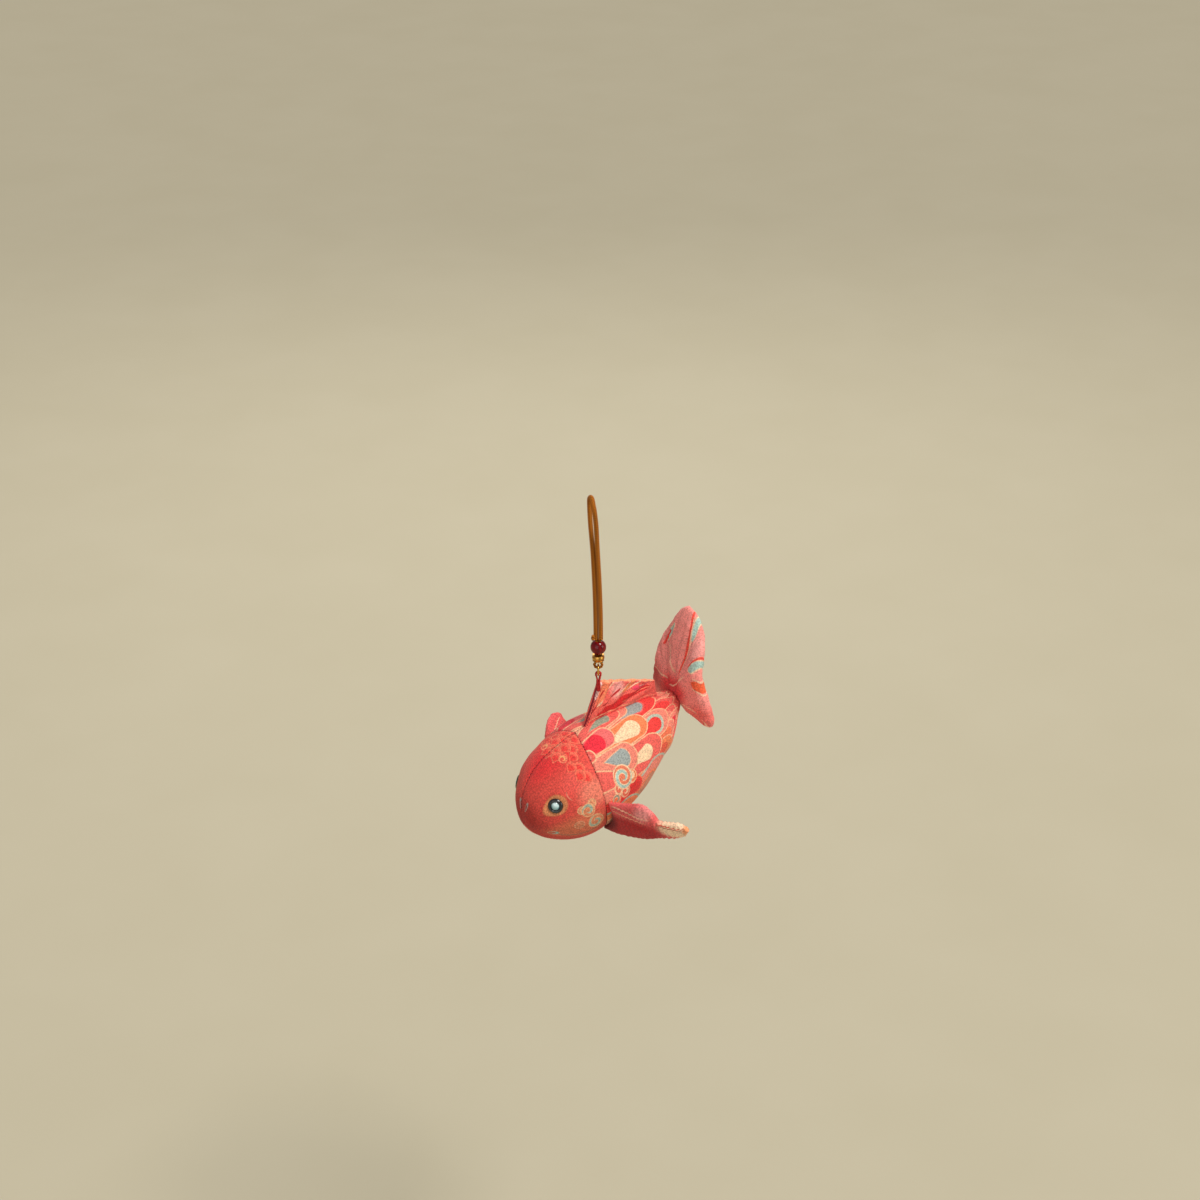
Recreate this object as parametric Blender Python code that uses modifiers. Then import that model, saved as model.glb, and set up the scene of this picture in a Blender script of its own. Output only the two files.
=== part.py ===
"""Hanging koi charm: a padded brocade fish under a doubled cord, a bead, a spacer and a jump ring.

Metres, +Z up. The origin is the inside top of the cord loop, where the charm hangs.
The fish's nose points to -X, its left side to -Y. The fish is modelled in its own frame, with
its nose tip at the origin, +X towards the tail and +Z towards the back, and then hung nose
down from the thread loop sewn into the tip of its back fin.
"""
import math

import bmesh
import bpy
from mathutils import Vector

MM = 0.001

# Running gaps
CLOTH_GAP = 0.30 * MM        # between two pieces of cloth, or cloth and filling
FILLING_GAP = 0.55 * MM      # between the body's flat-faceted covers and its filling
BEAD_GAP = 0.10 * MM         # between stacked beads and the cord that carries them
SEAT_GAP = 0.15 * MM         # between an eye's pearl and its ring

# Hanging cord
STRAND_RADIUS = 0.82 * MM
CORD_LEAN = Vector((2.0, -1.5, 0.0)) * MM     # how far the cord's foot hangs off its head
RING_YAW = math.radians(-38.0)                # heading of the jump ring's normal
# Height, half the distance between the strands, and the heading of one strand seen from above
CORD_LEVELS = (
    (-3.2, 3.40, -112.0),
    (-6.5, 2.75, -106.0),
    (-10.5, 1.95, -95.0),
    (-15.0, 1.32, -80.0),
    (-20.0, 1.02, -68.0),
    (-26.0, 0.93, -59.0),
    (-32.0, 0.92, -54.0),
    (-38.0, 0.92, -52.0),
    (-44.0, 0.92, -50.0),
    (-49.5, 0.92, -48.0),
    (-54.0, 0.92, -47.0),
    (-57.9, 0.92, -46.0),
)
CORD_CROWN = ((-1.05, 2.62), (0.45, 1.42))    # height and half distance above the widest level
STUB_RADIUS = 0.72 * MM
STUB_LENGTH = 2.6 * MM

# Beads, ring and thread
BEAD_RADIUS = 3.0 * MM
SPACER_RADIUS = 2.35 * MM
SPACER_HEIGHT = 2.6 * MM
EYE_CORD_RADIUS = 0.55 * MM
EYE_HALF_WIDTH = 1.45 * MM   # from the middle of the cord eye to the middle of its cord
EYE_DROP = 3.25 * MM         # from the spacer's foot to the middle of the cord at the eye's foot
RING_RADIUS = 2.05 * MM
RING_WIRE_RADIUS = 0.40 * MM
RING_PLAY = 0.30 * MM
THREAD_RADIUS = 0.42 * MM
THREAD_PLAY = 0.20 * MM
THREAD_DROP = 5.4 * MM       # from the ring's foot to where the thread's two strands meet

# Fish
FISH_PITCH = math.radians(20.0)               # how far the nose hangs down
BODY_LENGTH = 78.0 * MM
BODY_HEIGHT_RADIUS = 21.0 * MM
BODY_WIDTH_RATIO = 0.95
# Share of the length, and share of the greatest radius, of the body's side outline
BODY_OUTLINE = (
    (0.000, 0.000), (0.006, 0.155), (0.030, 0.345), (0.065, 0.530), (0.117, 0.710),
    (0.180, 0.856), (0.255, 0.948), (0.360, 1.000), (0.487, 0.990), (0.602, 0.905),
    (0.718, 0.770), (0.785, 0.682), (0.846, 0.610), (0.913, 0.445), (0.960, 0.306), (1.000, 0.219),
)
TAIL_LIFT = 2.0 * MM         # how far the middle of the body's end lies above its axis
TAIL_LIFT_START = 0.74       # share of the length where the middle begins to rise
COVER_THICKNESS = 0.80 * MM
NOSE_OPENING = 1.2 * MM      # radius where the head's covers begin
COLLAR_AT_CROWN = 34.0 * MM  # the collar seam's distance from the nose
COLLAR_AT_BELLY = 25.0 * MM
COLLAR_TURN = math.radians(110.0)             # how far round from the crown the seam slants
CROWN_SKEW = math.radians(12.0)               # how far the crown seam has pulled to the right at the nose
BELLY_HALF_ANGLE = math.radians(24.0)

# Fish eyes
EYE_STATION = 9.7 * MM
EYE_ANGLE = math.radians(55.5)                # from the back, around the body
EYE_RADIUS = 2.95 * MM
EYE_HEIGHT = 1.35 * MM
PEARL_RADIUS = 1.60 * MM
SHANK_RADIUS = 0.80 * MM
SHANK_LENGTH = 3.2 * MM
SHANK_HOLE_GAP = 0.30 * MM
WASHER_RADIUS = 2.60 * MM
WASHER_THICKNESS = 1.0 * MM
WASHER_DEPTH = 1.4 * MM
POCKET_GAP = 0.40 * MM

# Back fin, as (distance from the nose, height above the axis)
BACK_FIN_BASE = (37.5 * MM, 72.5 * MM)
BACK_FIN_TIP = (49.9 * MM, 31.6 * MM)
BACK_FIN_REAR = (71.6 * MM, 15.3 * MM)
BACK_FIN_CLOTH = 0.90 * MM
BACK_FIN_GATHER = 0.50 * MM

# Side fins: edges as (distance from the root, offset across), in millimetres
SIDE_FIN_UPPER = (
    (0.0, 9.2), (6.0, 9.2), (12.0, 9.8), (17.0, 10.8), (19.5, 9.2), (20.8, 4.4),
    (22.4, 1.6), (26.0, 1.5), (31.0, 2.3), (34.0, 1.7), (35.0, 0.4),
)
SIDE_FIN_LOWER = ((0.0, -10.4), (5.0, -12.4), (14.0, -11.9), (26.0, -7.9), (32.5, -4.6), (35.0, -1.4))
SIDE_FIN_LENGTH = 35.0 * MM
SIDE_FIN_PAD = 2.6 * MM      # half the filling's thickness
SIDE_FIN_ROOT_GAP = {"left": 0.95 * MM, "right": 1.50 * MM}     # the right one is swept further back
SIDE_FIN_SEAT = 9.4 * MM     # half the root's length that lies on the body
ROOT_SEARCH = 8.0 * MM
SIDE_FIN_ROOT_ANGLES = (math.radians(89.0), math.radians(146.0))
SIDE_FIN_ROOT_BACK = 1.0 * MM                 # how far behind the collar seam the root lies
SIDE_FIN_SWEEP = {
    "left": Vector((15.0, -32.0, -2.0)),
    "right": Vector((24.0, 27.0, 3.0)),
}
FIN_COVER = 0.60 * MM

# Tail, from the middle of the body's end: back, out to one side, up, in millimetres
TAIL_EDGE = (
    (21.0, 0.0, 34.0), (20.6, 4.6, 30.8), (18.0, 8.4, 25.6), (13.4, 11.2, 20.6), (9.6, 12.5, 15.4),
    (7.6, 14.0, 8.4), (6.0, 16.4, 0.6), (4.8, 17.4, -6.4), (4.0, 15.6, -9.7),
    (3.0, 11.6, -8.4), (2.4, 7.4, -5.4),
)
TAIL_ROOT_BACK = 0.85 * MM   # from the body's end to the middle of the tail's root
TAIL_ROOT_SWEEP = 0.9 * MM   # how much further back the root's sides lie
TAIL_ROOT_HALF_WIDTH = 2.4 * MM
TAIL_ROOT_RISE = 1.5 * MM
TAIL_ROOT_DROP = 2.5 * MM
TAIL_RIDGE_BOW = 1.6 * MM    # how far the ridge bows forwards between root and tip
TAIL_PAD = 1.9 * MM

COLOURS = {
    "cord": ((0.44, 0.19, 0.05), 0.75, 0.0),
    "agate": ((0.28, 0.01, 0.02), 0.12, 0.0),
    "gold": ((0.83, 0.58, 0.25), 0.25, 1.0),
    "thread": ((0.62, 0.02, 0.03), 0.70, 0.0),
    "head_cloth": ((0.78, 0.16, 0.12), 0.85, 0.0),
    "body_cloth": ((0.86, 0.30, 0.24), 0.85, 0.0),
    "belly_cloth": ((0.80, 0.36, 0.30), 0.85, 0.0),
    "fin_cloth": ((0.76, 0.20, 0.20), 0.85, 0.0),
    "filling": ((0.92, 0.90, 0.86), 0.95, 0.0),
    "eye_black": ((0.02, 0.02, 0.02), 0.15, 0.0),
    "eye_pearl": ((0.62, 0.74, 0.74), 0.20, 0.0),
    "washer": ((0.85, 0.85, 0.82), 0.50, 0.0),
}


def clear_scene():
    """Remove the scene's objects."""
    for obj in list(bpy.context.scene.objects):
        bpy.data.objects.remove(obj, do_unlink=True)


def new_collection(name):
    collection = bpy.data.collections.new(name)
    bpy.context.scene.collection.children.link(collection)
    return collection


def finish(obj, colour, collection, parent, smooth=True):
    """Link an object, give it its own material and hang it on its parent."""
    collection.objects.link(obj)
    obj.parent = parent
    base_colour, roughness, metallic = COLOURS[colour]
    material = bpy.data.materials.new(obj.name)
    material.use_nodes = True
    shader = material.node_tree.nodes["Principled BSDF"]
    shader.inputs["Base Color"].default_value = (*base_colour, 1.0)
    shader.inputs["Roughness"].default_value = roughness
    shader.inputs["Metallic"].default_value = metallic
    obj.data.materials.append(material)
    if smooth and obj.type == "MESH":
        obj.data.shade_smooth()
        obj.data.set_sharp_from_angle(angle=math.radians(40.0))
    return obj


def new_empty(name, location, collection, parent=None, rotation=(0.0, 0.0, 0.0)):
    empty = bpy.data.objects.new(name, None)
    empty.location = location
    empty.rotation_euler = rotation
    empty.parent = parent
    collection.objects.link(empty)
    return empty


def mesh_object(name, bm):
    """Make an object of a bmesh, with its faces pointing out."""
    bmesh.ops.recalc_face_normals(bm, faces=bm.faces)
    mesh = bpy.data.meshes.new(name)
    bm.to_mesh(mesh)
    bm.free()
    return bpy.data.objects.new(name, mesh)


def cord_object(name, points, radius, close=False):
    """A round cord or wire through the points."""
    curve = bpy.data.curves.new(name, "CURVE")
    curve.dimensions = "3D"
    curve.bevel_depth = radius
    curve.bevel_resolution = 2
    curve.use_fill_caps = not close
    spline = curve.splines.new("POLY")
    spline.points.add(len(points) - 1)
    for target, point in zip(spline.points, points):
        target.co = (*point, 1.0)
    spline.use_cyclic_u = close
    return bpy.data.objects.new(name, curve)


def turned_object(name, profile, steps=20):
    """Turn a (radius, height) profile, given from the top down its outer side, about Z."""
    bm = bmesh.new()
    vertices = [bm.verts.new((radius, 0.0, height)) for radius, height in profile]
    for first, second in zip(vertices, vertices[1:]):
        bm.edges.new((first, second))
    mesh = bpy.data.meshes.new(name)
    bm.to_mesh(mesh)
    bm.free()
    obj = bpy.data.objects.new(name, mesh)
    screw = obj.modifiers.new("turn", "SCREW")
    screw.axis = "Z"
    screw.steps = steps
    screw.render_steps = steps
    screw.use_merge_vertices = True
    screw.merge_threshold = 0.00001
    return obj


def smooth_curve(knots, samples):
    """Points of a Catmull-Rom curve through the knots, spread evenly over its spans."""
    knots = [Vector(knot) for knot in knots]
    padded = [2.0 * knots[0] - knots[1]] + knots + [2.0 * knots[-1] - knots[-2]]
    points = []
    for index in range(samples):
        place = index / (samples - 1) * (len(knots) - 1)
        span = min(int(place), len(knots) - 2)
        f = place - span
        before, start, end, after = padded[span:span + 4]
        points.append(0.5 * (
            2.0 * start
            + (end - before) * f
            + (2.0 * before - 5.0 * start + 4.0 * end - after) * f ** 2
            + (3.0 * start - before - 3.0 * end + after) * f ** 3
        ))
    return points


def value_at(table, place):
    """Read a table of (place, value) pairs with straight lines between them."""
    for (left, low), (right, high) in zip(table, table[1:]):
        if place <= right:
            return low + (high - low) * (place - left) / (right - left)
    return table[-1][1]


# --- Hanging cord, beads, ring and thread ------------------------------------------------

BEAD_CENTRE = CORD_LEVELS[-1][0] * MM - BEAD_GAP * 3.0 - BEAD_RADIUS
SPACER_CENTRE = BEAD_CENTRE - BEAD_RADIUS - BEAD_GAP - SPACER_HEIGHT / 2.0
EYE_FOOT = SPACER_CENTRE - SPACER_HEIGHT / 2.0 - EYE_DROP
BORE_RADIUS = 2.0 * EYE_CORD_RADIUS + 2.0 * BEAD_GAP
RING_CENTRE = EYE_FOOT + EYE_CORD_RADIUS + RING_PLAY + RING_WIRE_RADIUS - RING_RADIUS
RING_FOOT = RING_CENTRE - RING_RADIUS
ACROSS = Vector((math.cos(RING_YAW), math.sin(RING_YAW), 0.0))
UP = Vector((0.0, 0.0, 1.0))


def cord_centre(height):
    """Middle of the doubled cord at a height, leaning from the hang point to the bead."""
    share = min(max(height / (CORD_LEVELS[-1][0] * MM), 0.0), 1.0)
    return CORD_LEAN * math.sin(share * math.pi / 2.0) + UP * height


def cord_route():
    """Knots of the whole cord: up one strand, over the crown and down the other."""
    first, second = [], []
    for height, half_gap, heading in CORD_LEVELS:
        turn = math.radians(heading)
        side = Vector((math.cos(turn), math.sin(turn), 0.0)) * half_gap * MM
        centre = cord_centre(height * MM)
        first.append(centre + side)
        second.append(centre - side)
    turn = math.radians(CORD_LEVELS[0][2])
    side = Vector((math.cos(turn), math.sin(turn), 0.0)) * MM
    crown = []
    for height, half_gap in CORD_CROWN:
        crown.append(cord_centre(0.0) + UP * height * MM + side * half_gap)
    crown.append(UP * STRAND_RADIUS)
    for height, half_gap in reversed(CORD_CROWN):
        crown.append(cord_centre(0.0) + UP * height * MM - side * half_gap)
    return first[::-1] + crown + second


def build_cord(collection):
    route = cord_route()
    finish(cord_object("cord_loop", smooth_curve(route, 48), STRAND_RADIUS), "cord", collection, None)
    forward = Vector((ACROSS.y, -ACROSS.x, 0.0))
    foot = CORD_LEAN - ACROSS * 1.95 * MM + forward * 1.45 * MM + UP * (CORD_LEVELS[-1][0] + 0.3) * MM
    stub = [foot, foot + UP * STUB_LENGTH * 0.5, foot + UP * STUB_LENGTH + ACROSS * 0.25 * MM]
    finish(cord_object("knot_stub", stub, STUB_RADIUS), "cord", collection, None)


def build_beads(collection):
    steps = 8
    half_bore = math.asin(BORE_RADIUS / BEAD_RADIUS)
    outside = [math.pi * 0.5 - half_bore - (math.pi - 2.0 * half_bore) * i / steps for i in range(steps + 1)]
    round_side = [(BEAD_RADIUS * math.cos(angle), BEAD_RADIUS * math.sin(angle)) for angle in outside]
    bead = turned_object("agate_bead", round_side + [round_side[0]])
    bead.location = CORD_LEAN + UP * BEAD_CENTRE
    finish(bead, "agate", collection, None)

    half = SPACER_HEIGHT / 2.0
    rim = SPACER_RADIUS - BORE_RADIUS
    barrel = [
        (BORE_RADIUS, half),
        (BORE_RADIUS + rim * 0.40, half),
        (BORE_RADIUS + rim * 0.80, half * 0.68),
        (SPACER_RADIUS, half * 0.22),
        (SPACER_RADIUS, -half * 0.22),
        (BORE_RADIUS + rim * 0.80, -half * 0.68),
        (BORE_RADIUS + rim * 0.40, -half),
        (BORE_RADIUS, -half),
        (BORE_RADIUS, half),
    ]
    spacer = turned_object("gold_spacer", barrel)
    spacer.location = CORD_LEAN + UP * SPACER_CENTRE
    finish(spacer, "gold", collection, None)


def build_cord_eye(collection):
    """A thin cord through both beads, with an open eye below them."""
    leg = EYE_CORD_RADIUS + BEAD_GAP / 2.0
    top = CORD_LEVELS[-1][0] * MM - BEAD_GAP * 3.0
    bend = EYE_FOOT + EYE_HALF_WIDTH
    neck = SPACER_CENTRE - SPACER_HEIGHT / 2.0
    one_side = [(leg, top), (leg, (top + neck) / 2.0), (leg, neck), ((leg + EYE_HALF_WIDTH) / 2.0, (neck + bend) / 2.0)]
    arc = [
        (EYE_HALF_WIDTH * math.cos(math.pi * i / 8.0), bend - EYE_HALF_WIDTH * math.sin(math.pi * i / 8.0))
        for i in range(9)
    ]
    outline = one_side + arc + [(-x, z) for x, z in reversed(one_side)]
    points = [CORD_LEAN + ACROSS * x + UP * z for x, z in outline]
    finish(cord_object("cord_eye", points, EYE_CORD_RADIUS), "cord", collection, None)


def build_jump_ring(collection):
    towards = Vector((ACROSS.y, -ACROSS.x, 0.0))
    points = [
        (towards * math.cos(turn) + UP * math.sin(turn)) * RING_RADIUS
        for turn in (2.0 * math.pi * i / 24.0 for i in range(24))
    ]
    ring = cord_object("jump_ring", points, RING_WIRE_RADIUS, close=True)
    ring.location = CORD_LEAN + UP * RING_CENTRE
    finish(ring, "gold", collection, None)


def build_thread_loop(collection, foot):
    """A sewing thread looped over the ring's foot, its two strands meeting above the fin's tip."""
    half = RING_WIRE_RADIUS + THREAD_PLAY + THREAD_RADIUS
    meet = THREAD_RADIUS + BEAD_GAP / 2.0
    side = [(meet, foot), (meet, RING_FOOT - THREAD_DROP), ((half + meet) / 2.0, RING_FOOT - THREAD_DROP / 2.0)]
    arc = [
        (half * math.cos(math.pi * i / 8.0), RING_FOOT + half * math.sin(math.pi * i / 8.0))
        for i in range(9)
    ]
    outline = side + arc + [(-x, z) for x, z in reversed(side)]
    points = [CORD_LEAN + ACROSS * x + UP * z for x, z in outline]
    finish(cord_object("thread_loop", points, THREAD_RADIUS), "thread", collection, None)


# --- The fish's body ---------------------------------------------------------------------

COVER_ROWS = 10
COVER_COLUMNS = 10
OUTLINE_SAMPLES = 241
OUTLINE = [
    (point.x * BODY_LENGTH, point.y * BODY_HEIGHT_RADIUS)
    for point in smooth_curve([(x, y, 0.0) for x, y in BODY_OUTLINE], OUTLINE_SAMPLES)
]


def outline_at(station):
    """Radius, and the side outline's outward normal, at a distance from the nose."""
    index = 0
    while index < OUTLINE_SAMPLES - 2 and OUTLINE[index + 1][0] < station:
        index += 1
    (left, low), (right, high) = OUTLINE[index], OUTLINE[index + 1]
    radius = low + (high - low) * (station - left) / (right - left)
    normal = Vector((low - high, right - left)).normalized()
    return radius, normal


def station_of_radius(radius):
    """First distance from the nose at which the body has a radius."""
    return next(station for station, found in OUTLINE if found >= radius)


def middle_height(station):
    rise = max(station / BODY_LENGTH - TAIL_LIFT_START, 0.0) / (1.0 - TAIL_LIFT_START)
    return TAIL_LIFT * rise ** 2


def hull_point(station, angle, inset=0.0):
    """A point of the body, at an angle from the back round to the fish's left (-Y)."""
    radius, normal = outline_at(station)
    depth = radius - inset * normal.y
    return Vector((
        station - inset * normal.x,
        -math.sin(angle) * (radius * BODY_WIDTH_RATIO - inset * normal.y),
        middle_height(station) + math.cos(angle) * depth,
    ))


def collar_station(angle):
    """Where the collar seam lies; it slants forwards from the crown to the belly."""
    share = max(1.0 - abs(angle) / COLLAR_TURN, 0.0)
    return COLLAR_AT_BELLY + (COLLAR_AT_CROWN - COLLAR_AT_BELLY) * share ** 1.3


def seam_drift(station, angle):
    """How far round the body the cloth has pulled: most at the crown seam's front end, none at the belly."""
    ahead = max(1.0 - station / COLLAR_AT_CROWN, 0.0)
    return -CROWN_SKEW * ahead * max(1.0 - abs(angle) / (math.pi - BELLY_HALF_ANGLE), 0.0)


def spaced_station(start, end, share):
    """A station between two others, closer together near the nose where the outline turns."""
    return start + (end - start) * share ** (1.0 + 1.2 * math.exp(-start / (4.0 * MM)))


def grid_mesh(rows, close_rows=False):
    """A bmesh of quads over a grid of points; closed rows meet their own first point."""
    bm = bmesh.new()
    grid = [[bm.verts.new(point) for point in row] for row in rows]
    width = len(grid[0])
    for near, far in zip(grid, grid[1:]):
        for j in range(width if close_rows else width - 1):
            k = (j + 1) % width
            bm.faces.new((near[j], near[k], far[k], far[j]))
    return bm, grid


def cover_object(name, start_of, end_of, low_angle, high_angle, rows, columns):
    """A thin cover over part of the body, between two stations and two angles.

    Its edges stop half a gap short of the seam on every side.
    """
    half_gap = CLOTH_GAP / 2.0
    points = []
    for i in range(rows + 1):
        row = []
        for j in range(columns + 1):
            angle = low_angle + (high_angle - low_angle) * j / columns
            start = start_of(angle) + half_gap
            end = end_of(angle) - half_gap
            station = spaced_station(start, end, i / rows)
            radius = outline_at(station)[0]
            trim = half_gap / (radius * BODY_WIDTH_RATIO)
            low, high = low_angle + trim, high_angle - trim
            turn = low + (high - low) * j / columns
            row.append(hull_point(station, turn + seam_drift(station, turn)))
        points.append(row)
    bm, _ = grid_mesh(points)
    mesh = bpy.data.meshes.new(name)
    bm.to_mesh(mesh)
    bm.free()
    obj = bpy.data.objects.new(name, mesh)
    thickness = obj.modifiers.new("thickness", "SOLIDIFY")
    thickness.thickness = COVER_THICKNESS
    thickness.offset = -1.0
    return obj


def build_covers(collection, fish):
    """Two head covers, two body covers and the belly strip, which runs the whole length."""
    nose = station_of_radius(NOSE_OPENING)
    seam = math.pi - BELLY_HALF_ANGLE
    for side, low, high in (("left", 0.0, seam), ("right", -seam, 0.0)):
        head = cover_object(f"head_cover_{side}", lambda angle: nose, collar_station, low, high, COVER_ROWS, COVER_COLUMNS)
        finish(head, "head_cloth", collection, fish)
        body = cover_object(f"body_cover_{side}", collar_station, lambda angle: BODY_LENGTH, low, high, COVER_ROWS, COVER_COLUMNS)
        finish(body, "body_cloth", collection, fish)
    belly = cover_object(
        "belly_strip", lambda angle: nose, lambda angle: BODY_LENGTH, seam, 2.0 * math.pi - seam,
        2 * COVER_ROWS, 3
    )
    finish(belly, "belly_cloth", collection, fish)


def build_filling(collection, fish):
    """The filling, one closed body inside the covers."""
    inset = COVER_THICKNESS + FILLING_GAP
    nose = station_of_radius(NOSE_OPENING * 2.0)
    rows = []
    around = 2 * COVER_COLUMNS + 4
    for i in range(2 * COVER_ROWS + 1):
        station = spaced_station(nose, BODY_LENGTH, i / (2.0 * COVER_ROWS))
        rows.append([hull_point(station, 2.0 * math.pi * j / around, inset) for j in range(around)])
    bm, grid = grid_mesh(rows, close_rows=True)
    bm.faces.new(grid[0])
    bm.faces.new(reversed(grid[-1]))
    return finish(mesh_object("filling", bm), "filling", collection, fish)


# --- Eyes ---------------------------------------------------------------------------------

def add_cutter(name, radius, low, high, location, rotation, collection, parent):
    bm = bmesh.new()
    bmesh.ops.create_cone(
        bm, cap_ends=True, segments=20, radius1=radius, radius2=radius, depth=high - low
    )
    bmesh.ops.translate(bm, verts=bm.verts, vec=UP * (low + high) / 2.0)
    cutter = mesh_object(name, bm)
    cutter.location = location
    cutter.rotation_mode = "QUATERNION"
    cutter.rotation_quaternion = rotation
    cutter.parent = parent
    cutter.hide_render = True
    cutter.display_type = "WIRE"
    collection.objects.link(cutter)
    return cutter


def cut(target, cutter):
    boolean = target.modifiers.new(cutter.name, "BOOLEAN")
    boolean.operation = "DIFFERENCE"
    boolean.solver = "EXACT"
    boolean.object = cutter


def build_eye(side, sign, collection, cutters, fish, filling):
    """A black ring with a shank through the head cover, a pearl in it and a washer behind."""
    angle = sign * EYE_ANGLE
    place = hull_point(EYE_STATION, angle)
    normal = (place - hull_point(EYE_STATION, angle, MM)).normalized()
    turn = normal.to_track_quat("Z", "Y")

    base = CLOTH_GAP
    seat = base + EYE_HEIGHT * 0.25
    recess = PEARL_RADIUS + SEAT_GAP
    crown = base + EYE_HEIGHT
    ring_profile = [
        (0.0, seat),
        (recess, seat),
        (recess, crown - EYE_HEIGHT * 0.15),
        ((recess + EYE_RADIUS) / 2.0 - 0.1 * MM, crown),
        (EYE_RADIUS - 0.25 * MM, crown - EYE_HEIGHT * 0.28),
        (EYE_RADIUS, base + EYE_HEIGHT * 0.30),
        (EYE_RADIUS, base),
        (SHANK_RADIUS, base),
        (SHANK_RADIUS, -SHANK_LENGTH),
        (0.0, -SHANK_LENGTH),
    ]
    foot = seat + SEAT_GAP
    pearl_profile = [
        (0.0, foot + PEARL_RADIUS * 0.62),
        (PEARL_RADIUS * 0.50, foot + PEARL_RADIUS * 0.54),
        (PEARL_RADIUS * 0.83, foot + PEARL_RADIUS * 0.34),
        (PEARL_RADIUS, foot + PEARL_RADIUS * 0.10),
        (PEARL_RADIUS, foot),
        (0.0, foot),
    ]
    hole = SHANK_RADIUS + SEAT_GAP
    washer_profile = [
        (hole, -WASHER_DEPTH),
        (WASHER_RADIUS, -WASHER_DEPTH),
        (WASHER_RADIUS, -WASHER_DEPTH - WASHER_THICKNESS),
        (hole, -WASHER_DEPTH - WASHER_THICKNESS),
        (hole, -WASHER_DEPTH),
    ]
    for name, profile, colour in (
        ("eye_ring", ring_profile, "eye_black"),
        ("eye_pearl", pearl_profile, "eye_pearl"),
        ("eye_washer", washer_profile, "washer"),
    ):
        piece = turned_object(f"{name}_{side}", profile, steps=16)
        piece.location = place
        piece.rotation_mode = "QUATERNION"
        piece.rotation_quaternion = turn
        finish(piece, colour, collection, fish)

    shank_hole = add_cutter(
        f"shank_hole_{side}", SHANK_RADIUS + SHANK_HOLE_GAP, -2.0 * MM, 2.0 * MM, place, turn, cutters, fish
    )
    cut(bpy.data.objects[f"head_cover_{side}"], shank_hole)
    pocket = add_cutter(
        f"washer_pocket_{side}", WASHER_RADIUS + POCKET_GAP, -SHANK_LENGTH - POCKET_GAP, 4.0 * MM,
        place, turn, cutters, fish,
    )
    cut(filling, pocket)


# --- Padded fins and tail -----------------------------------------------------------------

def grid_normals(rows):
    """A normal at each point of a grid, from its neighbours."""
    normals = []
    for i, row in enumerate(rows):
        line = []
        for j in range(len(row)):
            along = rows[min(i + 1, len(rows) - 1)][j] - rows[max(i - 1, 0)][j]
            across = row[min(j + 1, len(row) - 1)] - row[max(j - 1, 0)]
            line.append(along.cross(across).normalized())
        normals.append(line)
    return normals


def layer_object(name, rows, normals, low, high):
    """A closed solid between two heights over a grid; each height is a function of (i, j)."""
    bm = bmesh.new()
    columns = len(rows[0])
    sheets = []
    for height in (low, high):
        sheets.append([
            [bm.verts.new(rows[i][j] + normals[i][j] * height(i, j)) for j in range(columns)]
            for i in range(len(rows))
        ])
    for sheet in sheets:
        for near, far in zip(sheet, sheet[1:]):
            for j in range(columns - 1):
                bm.faces.new((near[j], near[j + 1], far[j + 1], far[j]))
    border = [(0, j) for j in range(columns)]
    border += [(i, columns - 1) for i in range(1, len(rows))]
    border += [(len(rows) - 1, j) for j in range(columns - 2, -1, -1)]
    border += [(i, 0) for i in range(len(rows) - 2, 0, -1)]
    for (i, j), (m, n) in zip(border, border[1:] + border[:1]):
        bm.faces.new((sheets[0][i][j], sheets[0][m][n], sheets[1][m][n], sheets[1][i][j]))
    return mesh_object(name, bm)


def padded_pieces(names, rows, pad, cloth, has_filling=True):
    """Two covers with a pad between them, over a grid of points.

    names are the cover on the normals' side, the cover on the other side, and the filling.
    pad(i, j) is half the filling's thickness.
    """
    normals = grid_normals(rows)
    half_gap = CLOTH_GAP / 2.0
    inner = lambda i, j: half_gap + pad(i, j)
    outer = lambda i, j: half_gap + pad(i, j) + cloth
    pieces = [
        layer_object(names[0], rows, normals, inner, outer),
        layer_object(names[1], rows, normals, lambda i, j: -outer(i, j), lambda i, j: -inner(i, j)),
    ]
    if has_filling:
        core = [row[1:-1] for row in rows[1:-1]]
        core_normals = [row[1:-1] for row in normals[1:-1]]
        fill = lambda i, j: pad(i + 1, j + 1) - half_gap
        pieces.append(layer_object(names[2], core, core_normals, lambda i, j: -fill(i, j), fill))
    return pieces


def build_back_fin(collection, fish):
    """A gathered sail: its creases fan from the base to the top edge."""
    tip, rear = Vector(BACK_FIN_TIP), Vector(BACK_FIN_REAR)
    rows = []
    columns = 5
    length_rows = 10
    for i in range(length_rows + 1):
        share = i / length_rows
        station = BACK_FIN_BASE[0] + (BACK_FIN_BASE[1] - BACK_FIN_BASE[0]) * share
        base = Vector((station, hull_point(station, 0.0).z + CLOTH_GAP))
        top = tip.lerp(rear, share)
        top.y += 0.35 * MM * math.sin(math.pi * share)
        rows.append([Vector((p.x, 0.0, p.y)) for p in (base.lerp(top, j / columns) for j in range(columns + 1))])

    def gather(i, j):
        return BACK_FIN_GATHER * (1.0 - j / columns) * math.sin(math.pi * min(max(i / length_rows, 0.08), 0.92))

    names = ("back_fin_left", "back_fin_right")
    for piece in padded_pieces(names, rows, gather, BACK_FIN_CLOTH, has_filling=False):
        finish(piece, "fin_cloth", collection, fish)


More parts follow.
